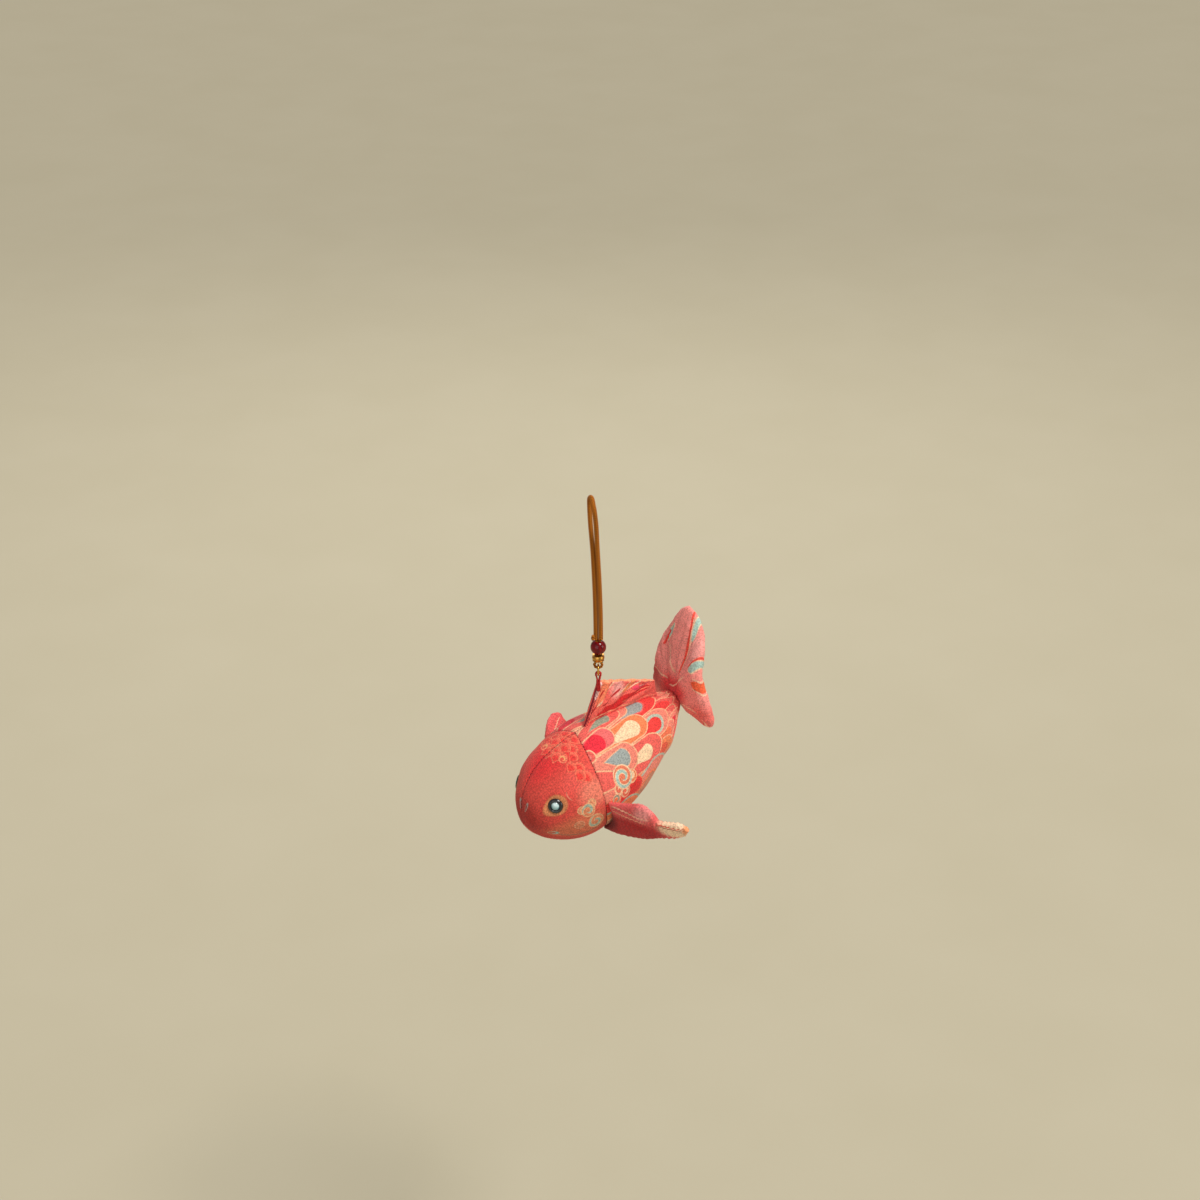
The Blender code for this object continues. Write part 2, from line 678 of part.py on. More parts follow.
def side_fin_frame(side):
    """Origin, reach and across directions of a side fin, at the middle of its root."""
    sign = 1.0 if side == "left" else -1.0
    upper, lower = (
        hull_point(collar_station(angle) + SIDE_FIN_ROOT_BACK, sign * angle)
        for angle in SIDE_FIN_ROOT_ANGLES
    )
    reach = SIDE_FIN_SWEEP[side].normalized()
    across = upper - lower
    across = (across - reach * across.dot(reach)).normalized()
    return (upper + lower) / 2.0, reach, across


def root_offset(origin, reach, across, offset):
    """How far along a fin's plane the body's surface lies from the root's chord."""
    held = max(min(offset, SIDE_FIN_SEAT), -SIDE_FIN_SEAT)
    inside, outside = -ROOT_SEARCH, ROOT_SEARCH
    for _ in range(30):
        middle = (inside + outside) / 2.0
        point = origin + across * held + reach * middle
        section = Vector((point.y / BODY_WIDTH_RATIO, point.z - middle_height(point.x)))
        if section.length < outline_at(point.x)[0]:
            inside = middle
        else:
            outside = middle
    return outside


def build_side_fin(side, collection, fish):
    """A padded mitten-shaped fin on the collar seam, turning about its root."""
    origin, reach, across = side_fin_frame(side)
    hinge = new_empty(f"{side}_fin_hinge", origin, collection, fish)
    length_rows, columns = 14, 8
    rows = []
    for i in range(length_rows + 1):
        share = i / length_rows
        x = SIDE_FIN_LENGTH * (share if share < 1.0 else 0.995)
        lower = value_at(SIDE_FIN_LOWER, x / MM) * MM
        upper = value_at(SIDE_FIN_UPPER, x / MM) * MM
        row = []
        for j in range(columns + 1):
            offset = lower + (upper - lower) * j / columns
            root = root_offset(origin, reach, across, offset) + SIDE_FIN_ROOT_GAP[side]
            row.append(reach * (x + root * (1.0 - share) ** 3) + across * offset)
        rows.append(row)

    def pad(i, j):
        share = i / length_rows
        along = min(share / 0.25, 1.0) ** 0.8 * (1.0 - 0.55 * min(max(share - 0.45, 0.0) / 0.2, 1.0))
        taper = min((1.0 - share) / 0.2, 1.0) ** 0.5
        edge = 2.0 * j / columns - 1.0
        return SIDE_FIN_PAD * along * taper * max(1.0 - edge ** 2, 0.0) ** 0.55

    names = (f"{side}_fin_cover_back", f"{side}_fin_cover_front", f"{side}_fin_filling")
    if side == "right":
        names = (names[1], names[0], names[2])
    for piece in padded_pieces(names, rows, pad, FIN_COVER):
        finish(piece, "filling" if piece.name.endswith("filling") else "fin_cloth", collection, hinge)


def build_tail(collection, fish):
    """A padded fan folded along its middle, with an upper point and two lower lobes."""
    middle = Vector((BODY_LENGTH, 0.0, middle_height(BODY_LENGTH)))
    hinge = new_empty("tail_hinge", middle, collection, fish)
    one_edge = smooth_curve([Vector(point) * MM for point in TAIL_EDGE], 10)
    edge = [Vector((p.x, -p.y, p.z)) for p in reversed(one_edge)] + one_edge[1:]
    columns = len(edge) - 1
    length_rows = 8
    rows = []
    for i in range(length_rows + 1):
        share = i / length_rows
        row = []
        for j, rim in enumerate(edge):
            side = 2.0 * j / columns - 1.0
            root = Vector((
                TAIL_ROOT_BACK + TAIL_ROOT_SWEEP * abs(side),
                TAIL_ROOT_HALF_WIDTH * side,
                TAIL_ROOT_RISE - TAIL_ROOT_DROP * side ** 2,
            ))
            point = root.lerp(rim, share)
            point.x += math.sin(math.pi * share) * TAIL_RIDGE_BOW * (abs(side) ** 0.5 - 0.5)
            row.append(point)
        rows.append(row)

    def pad(i, j):
        share = i / length_rows
        side = 2.0 * j / columns - 1.0
        along = min(share / 0.4, 1.0) ** 1.3 * min((1.0 - share) / 0.25, 1.0) ** 0.5
        across = max(1.0 - side ** 4, 0.0) ** 0.6
        return TAIL_PAD * along * across

    names = ("tail_cover_front", "tail_cover_back", "tail_filling")
    for piece in padded_pieces(names, rows, pad, FIN_COVER):
        finish(piece, "filling" if piece.name.endswith("filling") else "fin_cloth", collection, hinge)


def hang_point_of_fish():
    """The back fin's tip, in the fish's own frame."""
    return Vector((BACK_FIN_TIP[0], 0.0, BACK_FIN_TIP[1]))


def main():
    clear_scene()
    parts = new_collection("hanging_koi_charm")
    cutters = new_collection("cutters")
    build_cord(parts)
    build_beads(parts)
    build_cord_eye(parts)
    build_jump_ring(parts)

    thread_foot = RING_FOOT - THREAD_DROP - 0.4 * MM
    build_thread_loop(parts, thread_foot)
    fin_tip = CORD_LEAN + UP * (thread_foot - CLOTH_GAP)
    hanger = new_empty("fish_hanger", fin_tip, parts, rotation=(0.0, -FISH_PITCH, 0.0))
    fish = new_empty("fish_frame", -hang_point_of_fish(), parts, parent=hanger)
    build_covers(parts, fish)
    filling = build_filling(parts, fish)
    for side, sign in (("left", 1.0), ("right", -1.0)):
        build_eye(side, sign, parts, cutters, fish, filling)
        build_side_fin(side, parts, fish)
    build_back_fin(parts, fish)
    build_tail(parts, fish)


main()
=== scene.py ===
"""Looks of the hanging koi charm: a padded brocade fish under a bead and a doubled cord.

Everything is in metres in the part's own frame: +Z up, the nose towards -X, the fish's left towards -Y.
The fish is laid out in its own space, nose tip at the origin and +X towards the tail, then hung.
"""
import bisect
import logging
import math
from dataclasses import dataclass, field, replace
from enum import Enum
from typing import Callable, Sequence

import bpy
from mathutils import Matrix, Vector, noise


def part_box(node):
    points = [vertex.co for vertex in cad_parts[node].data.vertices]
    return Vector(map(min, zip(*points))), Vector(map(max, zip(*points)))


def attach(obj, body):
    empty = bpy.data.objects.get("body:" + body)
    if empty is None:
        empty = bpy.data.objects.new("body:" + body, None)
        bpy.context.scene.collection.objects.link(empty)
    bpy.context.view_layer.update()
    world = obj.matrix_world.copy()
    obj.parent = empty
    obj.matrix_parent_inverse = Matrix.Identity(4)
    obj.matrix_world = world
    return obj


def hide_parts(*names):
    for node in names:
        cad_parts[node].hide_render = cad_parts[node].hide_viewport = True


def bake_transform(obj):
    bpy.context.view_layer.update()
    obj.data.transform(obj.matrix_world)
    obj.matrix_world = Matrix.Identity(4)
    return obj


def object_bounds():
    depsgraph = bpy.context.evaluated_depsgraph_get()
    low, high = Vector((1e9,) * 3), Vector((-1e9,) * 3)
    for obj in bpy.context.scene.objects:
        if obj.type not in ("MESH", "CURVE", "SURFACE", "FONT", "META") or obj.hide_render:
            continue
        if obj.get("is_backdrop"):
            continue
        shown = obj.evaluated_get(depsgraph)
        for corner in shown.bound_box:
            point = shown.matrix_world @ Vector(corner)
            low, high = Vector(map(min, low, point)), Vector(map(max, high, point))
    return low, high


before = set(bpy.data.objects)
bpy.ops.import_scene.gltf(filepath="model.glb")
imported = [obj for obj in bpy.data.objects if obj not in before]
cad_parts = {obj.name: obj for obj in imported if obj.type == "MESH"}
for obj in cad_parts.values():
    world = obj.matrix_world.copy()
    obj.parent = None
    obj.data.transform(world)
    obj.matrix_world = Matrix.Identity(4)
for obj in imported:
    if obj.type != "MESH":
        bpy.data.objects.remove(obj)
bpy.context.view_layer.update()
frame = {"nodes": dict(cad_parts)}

MM = 0.001
UP = Vector((0.0, 0.0, 1.0))
LOG = logging.getLogger("koi_charm")
PRINT_MAP = "print"          # the UV map that every printed cloth carries, in millimetres
DEGREE_ON_PRINT = 0.2925     # millimetres of print for one degree round the body

Colour = tuple[float, float, float]
Grid = list[list[Vector]]

CREAM: Colour = (0.90, 0.62, 0.38)
LINE: Colour = (0.88, 0.47, 0.27)
CRIMSON: Colour = (0.80, 0.030, 0.050)
RED: Colour = (0.84, 0.052, 0.045)
CORAL: Colour = (0.82, 0.125, 0.100)
SALMON: Colour = (0.84, 0.235, 0.165)
ORANGE: Colour = (0.86, 0.215, 0.085)
GREY_BLUE: Colour = (0.33, 0.36, 0.34)
GREY_GREEN: Colour = (0.30, 0.34, 0.25)
MINT: Colour = (0.42, 0.58, 0.50)
TAN: Colour = (0.62, 0.24, 0.15)


class Side(Enum):
    """The fish's own left and right."""

    LEFT = "left"
    RIGHT = "right"

    @property
    def sign(self) -> float:
        """1 on the left, -1 on the right: angles from the back grow towards the left."""
        return 1.0 if self is Side.LEFT else -1.0


# --- Curves and meshes ---------------------------------------------------------------------


def smooth_curve(knots: Sequence[Vector], samples: int) -> list[Vector]:
    """Points of a Catmull-Rom curve through the knots.

    Args:
        knots: The points to pass through.
        samples: How many points to return, spread evenly over the spans.

    Returns:
        The points, in order.
    """
    padded = [2.0 * knots[0] - knots[1], *knots, 2.0 * knots[-1] - knots[-2]]
    points = []
    for index in range(samples):
        place = index / (samples - 1) * (len(knots) - 1)
        span = min(int(place), len(knots) - 2)
        f = place - span
        before, start, end, after = padded[span:span + 4]
        points.append(0.5 * (
            2.0 * start
            + (end - before) * f
            + (2.0 * before - 5.0 * start + 4.0 * end - after) * f ** 2
            + (3.0 * start - before - 3.0 * end + after) * f ** 3
        ))
    return points


def hump(share: float, rise: float, power: float) -> float:
    """0 at a border and 1 inside it, reaching 1 at a share of the way in."""
    return min(max(share, 0.0) / rise, 1.0) ** power


def bell(distance: float, width: float) -> float:
    """1 on a line, falling away smoothly at about a width from it."""
    return math.exp(-(distance / width) ** 2)


def link(name: str, data: bpy.types.ID) -> bpy.types.Object:
    """Put an object with this data into the scene."""
    obj = bpy.data.objects.new(name, data)
    bpy.context.scene.collection.objects.link(obj)
    return obj


def add_object(name: str, points: Sequence[Vector], faces: Sequence[Sequence[int]],
               prints: Sequence[tuple[float, float]] | None = None) -> bpy.types.Object:
    """A smooth-shaded mesh object at the origin.

    Args:
        name: The piece's name.
        points: Its vertices in the part's frame.
        faces: Vertex numbers of each face, facing out.
        prints: One place on the printed cloth for each vertex, in millimetres.

    Returns:
        The linked object.
    """
    mesh = bpy.data.meshes.new(name)
    mesh.from_pydata([tuple(p) for p in points], [], [tuple(f) for f in faces])
    if prints is not None:
        layer = mesh.uv_layers.new(name=PRINT_MAP)
        for loop in mesh.loops:
            layer.data[loop.index].uv = prints[loop.vertex_index]
    mesh.shade_smooth()
    mesh.validate()
    return link(name, mesh)


def tube(name: str, path: Sequence[Vector], radius: Callable[[float, float], float],
         around: int, closed: bool = False) -> bpy.types.Object:
    """A tube along a path, with rounded ends unless it is closed on itself.

    Args:
        name: The piece's name.
        path: The centreline.
        radius: The radius at a distance along the path and an angle round it.
        around: How many points make one ring.
        closed: Whether the last point joins the first.

    Returns:
        The tube, with distance along and angle round it as its print map.
    """
    count = len(path)
    tangents = []
    for index in range(count):
        if closed:
            tangents.append((path[(index + 1) % count] - path[index - 1]).normalized())
        else:
            tangents.append((path[min(index + 1, count - 1)] - path[max(index - 1, 0)]).normalized())
    normal = tangents[0].orthogonal().normalized()
    points, prints, run = [], [], 0.0
    for index, (centre, tangent) in enumerate(zip(path, tangents)):
        if index:
            run += (centre - path[index - 1]).length
        normal = (normal - tangent * normal.dot(tangent)).normalized()
        binormal = tangent.cross(normal)
        for step in range(around):
            turn = 2.0 * math.pi * step / around
            reach = radius(run, turn)
            points.append(centre + (normal * math.cos(turn) + binormal * math.sin(turn)) * reach)
            prints.append((run / MM, math.degrees(turn) / 360.0))
    faces = []
    for index in range(count if closed else count - 1):
        near, far = index * around, ((index + 1) % count) * around
        for step in range(around):
            other = (step + 1) % around
            faces.append((near + step, near + other, far + other, far + step))
    if not closed:
        for index, way in ((0, -1.0), (count - 1, 1.0)):
            pole = len(points)
            points.append(path[index] + tangents[index] * way * radius(0.0, 0.0) * 0.6)
            prints.append((0.0, 0.0))
            ring = index * around
            for step in range(around):
                pair = (ring + step, ring + (step + 1) % around)
                faces.append((*pair[::int(way)], pole))
    return add_object(name, points, faces, prints)


def turned(name: str, profile: Sequence[tuple[float, float]], place: Matrix,
           steps: int = 56) -> bpy.types.Object:
    """A turned piece from a (radius, height) profile, given from the top down its outside.

    Args:
        name: The piece's name.
        profile: The profile; where it begins and ends on the axis, it closes in a point,
            and otherwise its last point joins its first, round a bore.
        place: Where the axis stands.
        steps: How many points make one ring.

    Returns:
        The closed piece.
    """
    points: list[Vector] = []
    rings = []
    for radius, height in profile:
        if radius <= 0.0:
            rings.append([len(points)] * steps)
            points.append(place @ Vector((0.0, 0.0, height)))
        else:
            rings.append(list(range(len(points), len(points) + steps)))
            for step in range(steps):
                turn = 2.0 * math.pi * step / steps
                points.append(place @ Vector((radius * math.cos(turn), radius * math.sin(turn), height)))
    if profile[0][0] > 0.0:
        rings.append(rings[0])
    faces = []
    for near, far in zip(rings, rings[1:]):
        for step in range(steps):
            other = (step + 1) % steps
            face = [near[step], far[step], far[other], near[other]]
            kept = [v for i, v in enumerate(face) if v not in face[:i]]
            if len(kept) > 2:
                faces.append(kept)
    return add_object(name, points, faces)


def rounded(profile: Sequence[tuple[float, float]], samples: int) -> list[tuple[float, float]]:
    """A profile smoothed through its points."""
    curve = smooth_curve([Vector((r, h, 0.0)) for r, h in profile], samples)
    return [(max(p.x, 0.0), p.y) for p in curve]


def grid_normals(rows: Grid) -> Grid:
    """The unit normal at each point of a grid of points."""
    normals = []
    for i, row in enumerate(rows):
        line = []
        for j in range(len(row)):
            along = rows[min(i + 1, len(rows) - 1)][j] - rows[max(i - 1, 0)][j]
            across = row[min(j + 1, len(row) - 1)] - row[max(j - 1, 0)]
            line.append(along.cross(across).normalized())
        normals.append(line)
    return normals


def pad_object(name: str, rows: Grid, thickness: Callable[[int, int], float],
               prints: list[list[tuple[float, float]]]) -> bpy.types.Object:
    """A closed pad over a grid of points, its two faces sewn together along the border.

    Args:
        name: The piece's name.
        rows: The middle surface.
        thickness: Half the pad's thickness at a row and column.
        prints: The print map's place for each point of the grid.

    Returns:
        The pad.
    """
    normals = grid_normals(rows)
    depth, width = len(rows), len(rows[0])
    points, places, index = [], [], [{}, {}]
    for layer, sign in enumerate((1.0, -1.0)):
        for i in range(depth):
            for j in range(width):
                border = i in (0, depth - 1) or j in (0, width - 1)
                if layer and border:
                    index[1][i, j] = index[0][i, j]
                    continue
                index[layer][i, j] = len(points)
                lift = 0.0 if border else thickness(i, j)
                points.append(rows[i][j] + normals[i][j] * sign * lift)
                places.append(prints[i][j])
    faces = []
    for layer, side in enumerate(index):
        for i in range(depth - 1):
            for j in range(width - 1):
                face = (side[i, j], side[i + 1, j], side[i + 1, j + 1], side[i, j + 1])
                faces.append(face[::-1] if layer else face)
    return add_object(name, points, faces, places)


def dress(obj: bpy.types.Object, material: bpy.types.Material) -> bpy.types.Object:
    """Give a piece its one material."""
    obj.data.materials.clear()
    obj.data.materials.append(material)
    return obj


def mount(obj: bpy.types.Object, body: str, slot: str, *nodes: str) -> bpy.types.Object:
    """Set a finished piece on its body and hide the CAD nodes that it stands for."""
    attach(obj, body)
    if nodes:
        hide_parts(*nodes)
    LOG.info("%s: %d faces on %s", obj.name, len(obj.data.polygons), body)
    return obj


# --- Materials -----------------------------------------------------------------------------


class Graph:
    """A node tree that is built a node at a time, each call giving back a socket."""

    def __init__(self, tree: bpy.types.NodeTree) -> None:
        """Work on an existing node tree."""
        self.tree = tree

    def node(self, kind: str, settings: dict | None = None, **sockets: object) -> bpy.types.Node:
        """Add a node, set its properties, and feed its inputs.

        Args:
            kind: The node's type name.
            settings: Properties to set before the inputs.
            **sockets: Inputs by identifier; a socket is linked, anything else is its value.

        Returns:
            The node.
        """
        made = self.tree.nodes.new(kind)
        for key, value in (settings or {}).items():
            setattr(made, key, value)
        found = {s.identifier: s for s in made.inputs}
        for key, value in sockets.items():
            self.feed(found[key], value)
        return made

    def feed(self, target: bpy.types.NodeSocket, value: object) -> None:
        """Link a socket to an input, or set the input's value."""
        if isinstance(value, bpy.types.NodeSocket):
            self.tree.links.new(value, target)
        elif isinstance(value, tuple) and len(value) == 3 and target.type == "RGBA":
            target.default_value = (*value, 1.0)
        else:
            target.default_value = value

    def math(self, operation: str, first: object, second: object = 0.0, third: object = 0.0,
             clamp: bool = False) -> bpy.types.NodeSocket:
        """One Math node."""
        settings = {"operation": operation, "use_clamp": clamp}
        made = self.node("ShaderNodeMath", settings, Value=first, Value_001=second, Value_002=third)
        return made.outputs[0]

    def vector(self, operation: str, first: object, second: object = (0.0, 0.0, 0.0)) -> bpy.types.Node:
        """One Vector Math node."""
        return self.node("ShaderNodeVectorMath", {"operation": operation}, Vector=first, Vector_001=second)

    def mix(self, factor: object, under: object, over: object, blend: str = "MIX") -> bpy.types.NodeSocket:
        """Lay one colour over another."""
        settings = {"data_type": "RGBA", "blend_type": blend, "clamp_factor": True}
        made = self.node("ShaderNodeMix", settings, Factor_Float=factor, A_Color=under, B_Color=over)
        return made.outputs["Result_Color"] if "Result_Color" in made.outputs else made.outputs[2]

    def separate(self, vector: object) -> tuple[bpy.types.NodeSocket, ...]:
        """The three numbers of a vector."""
        return tuple(self.node("ShaderNodeSeparateXYZ", Vector=vector).outputs)

    def noise(self, place: object, scale: float, detail: float = 2.0) -> bpy.types.Node:
        """A noise texture over a place."""
        return self.node("ShaderNodeTexNoise", Vector=place, Scale=scale, Detail=detail)

    def ramp(self, factor: object, stops: Sequence[tuple[float, Colour]]) -> bpy.types.NodeSocket:
        """Colours along a factor."""
        made = self.node("ShaderNodeValToRGB", Fac=factor)
        elements = made.color_ramp.elements
        while len(elements) < len(stops):
            elements.new(0.5)
        for element, (place, colour) in zip(elements, stops):
            element.position = place
            element.color = (*colour, 1.0)
        return made.outputs[0]

    def spread(self, value: object, low: object, high: object) -> bpy.types.NodeSocket:
        """0 at low and 1 at high, eased between them; high may be below low."""
        settings = {"interpolation_type": "SMOOTHSTEP"}
        made = self.node("ShaderNodeMapRange", settings, Value=value)
        self.feed(made.inputs["From Min"], low)
        self.feed(made.inputs["From Max"], high)
        return made.outputs[0]


Inputs = dict[str, bpy.types.NodeSocket]


def print_group(name: str, numbers: Sequence[str], colours: Sequence[str],
                draw: Callable[[Graph, Inputs], object]) -> bpy.types.NodeTree:
    """A group that draws one printed mark over the colour below it.

    Args:
        name: The mark's name.
        numbers: Its number inputs, after Place, Centre and Under.
        colours: Its colour inputs.
        draw: Given the graph and the inputs, returns the resulting colour.

    Returns:
        The group, with one output, Print.
    """
    tree = bpy.data.node_groups.new(name, "ShaderNodeTree")
    make = tree.interface.new_socket
    make("Place", in_out="INPUT", socket_type="NodeSocketVector")
    make("Centre", in_out="INPUT", socket_type="NodeSocketVector")
    make("Under", in_out="INPUT", socket_type="NodeSocketColor")
    for number in numbers:
        make(number, in_out="INPUT", socket_type="NodeSocketFloat")
    for colour in colours:
        make(colour, in_out="INPUT", socket_type="NodeSocketColor")
    make("Print", in_out="OUTPUT", socket_type="NodeSocketColor")
    graph = Graph(tree)
    inputs = {s.name: s for s in tree.nodes.new("NodeGroupInput").outputs if s.name}
    graph.feed(tree.nodes.new("NodeGroupOutput").inputs[0], draw(graph, inputs))
    return tree


EDGE_SHARPNESS = 4.5         # how quickly a printed edge changes, a millimetre
CORE_TAPER = 0.17            # how much quicker a scale's core narrows than its outline
CURL_BORDER = 0.35           # width of the line round a cloud curl, in millimetres
STROKE_POINT = 3.0           # how late a stroke narrows: higher keeps its width nearer its ends


def inside(graph: Graph, radius: object, distance: object) -> bpy.types.NodeSocket:
    """1 where a distance is under a radius, with a soft printed edge."""
    gap = graph.math("SUBTRACT", radius, distance)
    return graph.math("MULTIPLY_ADD", gap, EDGE_SHARPNESS, 0.5, clamp=True)


def teardrop(graph: Graph, along: object, across: object, taper: object) -> bpy.types.NodeSocket:
    """Distance from the middle of a drop, round ahead and narrowing to a point behind."""
    ahead = graph.node("ShaderNodeCombineXYZ", X=graph.math("MAXIMUM", along, 0.0), Y=across).outputs[0]
    behind = graph.math("MINIMUM", along, 0.0)
    round_part = graph.vector("LENGTH", ahead).outputs["Value"]
    return graph.math("SUBTRACT", round_part, graph.math("MULTIPLY", behind, taper))


def from_centre(graph: Graph, inputs: Inputs) -> bpy.types.NodeSocket:
    """How far the point lies from the mark's centre."""
    return graph.vector("SUBTRACT", inputs["Place"], inputs["Centre"]).outputs[0]


def from_heading(graph: Graph, inputs: Inputs) -> tuple[bpy.types.NodeSocket, ...]:
    """How far the point lies along and across the mark's own heading."""
    heading = graph.node(
        "ShaderNodeVectorRotate", {"rotation_type": "Z_AXIS", "invert": True},
        Vector=from_centre(graph, inputs), Angle=inputs["Turn"],
    ).outputs[0]
    return graph.separate(heading)[:2]


def draw_scale(graph: Graph, inputs: Inputs) -> bpy.types.NodeSocket:
    """One fish scale: a line, a band, a ring and a core, all drops pointing to the head."""
    along, across = from_heading(graph, inputs)
    outer = teardrop(graph, along, across, inputs["Taper"])
    core_taper = graph.math("ADD", inputs["Taper"], CORE_TAPER)
    core = teardrop(graph, graph.math("ADD", along, inputs["Core Back"]), across, core_taper)
    within = inside(graph, graph.math("SUBTRACT", inputs["Radius"], inputs["Line Width"]), outer)
    colour = graph.mix(inside(graph, inputs["Radius"], outer), inputs["Under"], inputs["Line"])
    colour = graph.mix(within, colour, inputs["Band"])
    ring = graph.math("ADD", inputs["Core Radius"], inputs["Ring Width"])
    for radius, name in ((ring, "Ring"), (inputs["Core Radius"], "Core")):
        mask = graph.math("MULTIPLY", inside(graph, radius, core), within)
        colour = graph.mix(mask, colour, inputs[name])
    return colour


def draw_curl(graph: Graph, inputs: Inputs) -> bpy.types.NodeSocket:
    """One cloud curl: a spiral band with thin lines at its edges, inside a round border."""
    offset = from_centre(graph, inputs)
    along, across, _ = graph.separate(offset)
    distance = graph.vector("LENGTH", offset).outputs["Value"]
    turn = graph.math("DIVIDE", graph.math("ARCTAN2", across, along), 2.0 * math.pi)
    phase = graph.math("DIVIDE", distance, inputs["Pitch"])
    wound = graph.math("FRACT", graph.math("ADD", phase, graph.math("MULTIPLY", turn, inputs["Hand"])))
    wave = graph.math("ABSOLUTE", graph.math("SUBTRACT", wound, 0.5))
    border = inside(graph, inputs["Radius"], distance)
    inner = inside(graph, graph.math("SUBTRACT", inputs["Radius"], CURL_BORDER), distance)
    colour = graph.mix(border, inputs["Under"], inputs["Line"])
    colour = graph.mix(inner, colour, inputs["Ground"])
    line = graph.math("MULTIPLY", inner, graph.spread(wave, 0.33, 0.27))
    band = graph.math("MULTIPLY", inner, graph.spread(wave, 0.22, 0.16))
    colour = graph.mix(line, colour, inputs["Line"])
    colour = graph.mix(band, colour, inputs["Band"])
    heart = inside(graph, inputs["Heart"], distance)
    return graph.mix(heart, colour, inputs["Ground"])


def draw_blush(graph: Graph, inputs: Inputs) -> bpy.types.NodeSocket:
    """A soft oval patch of another colour."""
    offset = from_centre(graph, inputs)
    along, across, _ = graph.separate(offset)
    oval = graph.node(
        "ShaderNodeCombineXYZ", X=graph.math("DIVIDE", along, inputs["Length"]),
        Y=graph.math("DIVIDE", across, inputs["Width"]),
    ).outputs[0]
    distance = graph.vector("LENGTH", oval).outputs["Value"]
    amount = graph.spread(distance, 1.0, inputs["Solid"])
    return graph.mix(graph.math("MULTIPLY", amount, inputs["Amount"]), inputs["Under"], inputs["Colour"])


def draw_stroke(graph: Graph, inputs: Inputs) -> bpy.types.NodeSocket:
    """A thin bowed line, from its centre outwards along its own direction."""
    along, across = from_heading(graph, inputs)
    share = graph.math("DIVIDE", along, inputs["Length"])
    square = graph.math("MULTIPLY", share, share)
    sag = graph.math("MULTIPLY", square, inputs["Bow"])
    slim = graph.math("SUBTRACT", 1.0, graph.math("POWER", square, STROKE_POINT))
    half_width = graph.math("MULTIPLY", inputs["Width"], graph.math("MAXIMUM", slim, 0.0))
    aside = graph.math("ABSOLUTE", graph.math("SUBTRACT", across, sag))
    ends = inside(graph, inputs["Length"], graph.math("ABSOLUTE", along))
    mask = graph.math("MULTIPLY", inside(graph, half_width, aside), ends)
    return graph.mix(mask, inputs["Under"], inputs["Colour"])


@dataclass(frozen=True)
class Mark:
    """One printed mark, placed on the cloth by distance from the nose and angle round the body."""

    along: float
    angle: float
    numbers: tuple[float, ...]
    colours: tuple[Colour, ...]
    kind: str

    def centre(self) -> tuple[float, float, float]:
        """Its place on the print map."""
        return (self.along, self.angle * DEGREE_ON_PRINT, 0.0)


def scale(along: float, angle: float, radius: float, band: Colour, core: Colour, core_back: float,
          core_radius: float, ring: Colour = CORAL, ring_width: float = 0.0, turn: float = 0.0,
          line: Colour = LINE, line_width: float = 0.46, taper: float = 0.07) -> Mark:
    """A fish scale whose rounded end points to the tail.

    Args:
        along: Distance of the round end's middle from the nose, in millimetres.
        angle: Its angle round the body from the back, in degrees.
        radius: The round end's radius.
        band: Colour inside the outline.
        core: Colour of the drop within.
        core_back: How far the core's middle lies towards the head.
        core_radius: The core's radius.
        ring: Colour of the ring round the core.
        ring_width: The ring's width.
        turn: Which way the round end points, in degrees towards the belly.
        line: The outline's colour.
        line_width: The outline's width.
        taper: How quickly the scale narrows towards the head.

    Returns:
        The mark.
    """
    numbers = (radius, math.radians(turn), taper, line_width, core_back, core_radius, ring_width)
    return Mark(along, angle, numbers, (line, band, ring, core), "fish scale")


def curl(along: float, angle: float, radius: float, pitch: float, band: Colour, line: Colour,
         ground: Colour, hand: float = 1.0, heart: float = 0.5) -> Mark:
    """A cloud curl: its radius, the pitch of its spiral and its three colours."""
    return Mark(along, angle, (radius, pitch, hand, heart), (band, line, ground), "cloud curl")


def blush(along: float, angle: float, length: float, width: float, colour: Colour,
          amount: float = 0.8, solid: float = 0.2) -> Mark:
    """A soft oval patch: its half length and half width, and how strongly it covers."""
    return Mark(along, angle, (length, width, solid, amount), (colour,), "blush")


def stroke(along: float, angle: float, length: float, turn: float, bow: float,
           colour: Colour = LINE, width: float = 0.26) -> Mark:
    """A thin bowed line: its half length, heading in degrees and how far its ends bow."""
    return Mark(along, angle, (math.radians(turn), length, bow, width), (colour,), "stroke")


GROUPS = {
    name: print_group(name, numbers, colours, draw)
    for name, numbers, colours, draw in (
        ("fish scale", ("Radius", "Turn", "Taper", "Line Width", "Core Back", "Core Radius", "Ring Width"),
         ("Line", "Band", "Ring", "Core"), draw_scale),
        ("cloud curl", ("Radius", "Pitch", "Hand", "Heart"), ("Band", "Line", "Ground"), draw_curl),
        ("blush", ("Length", "Width", "Solid", "Amount"), ("Colour",), draw_blush),
        ("stroke", ("Turn", "Length", "Bow", "Width"), ("Colour",), draw_stroke),
    )
}


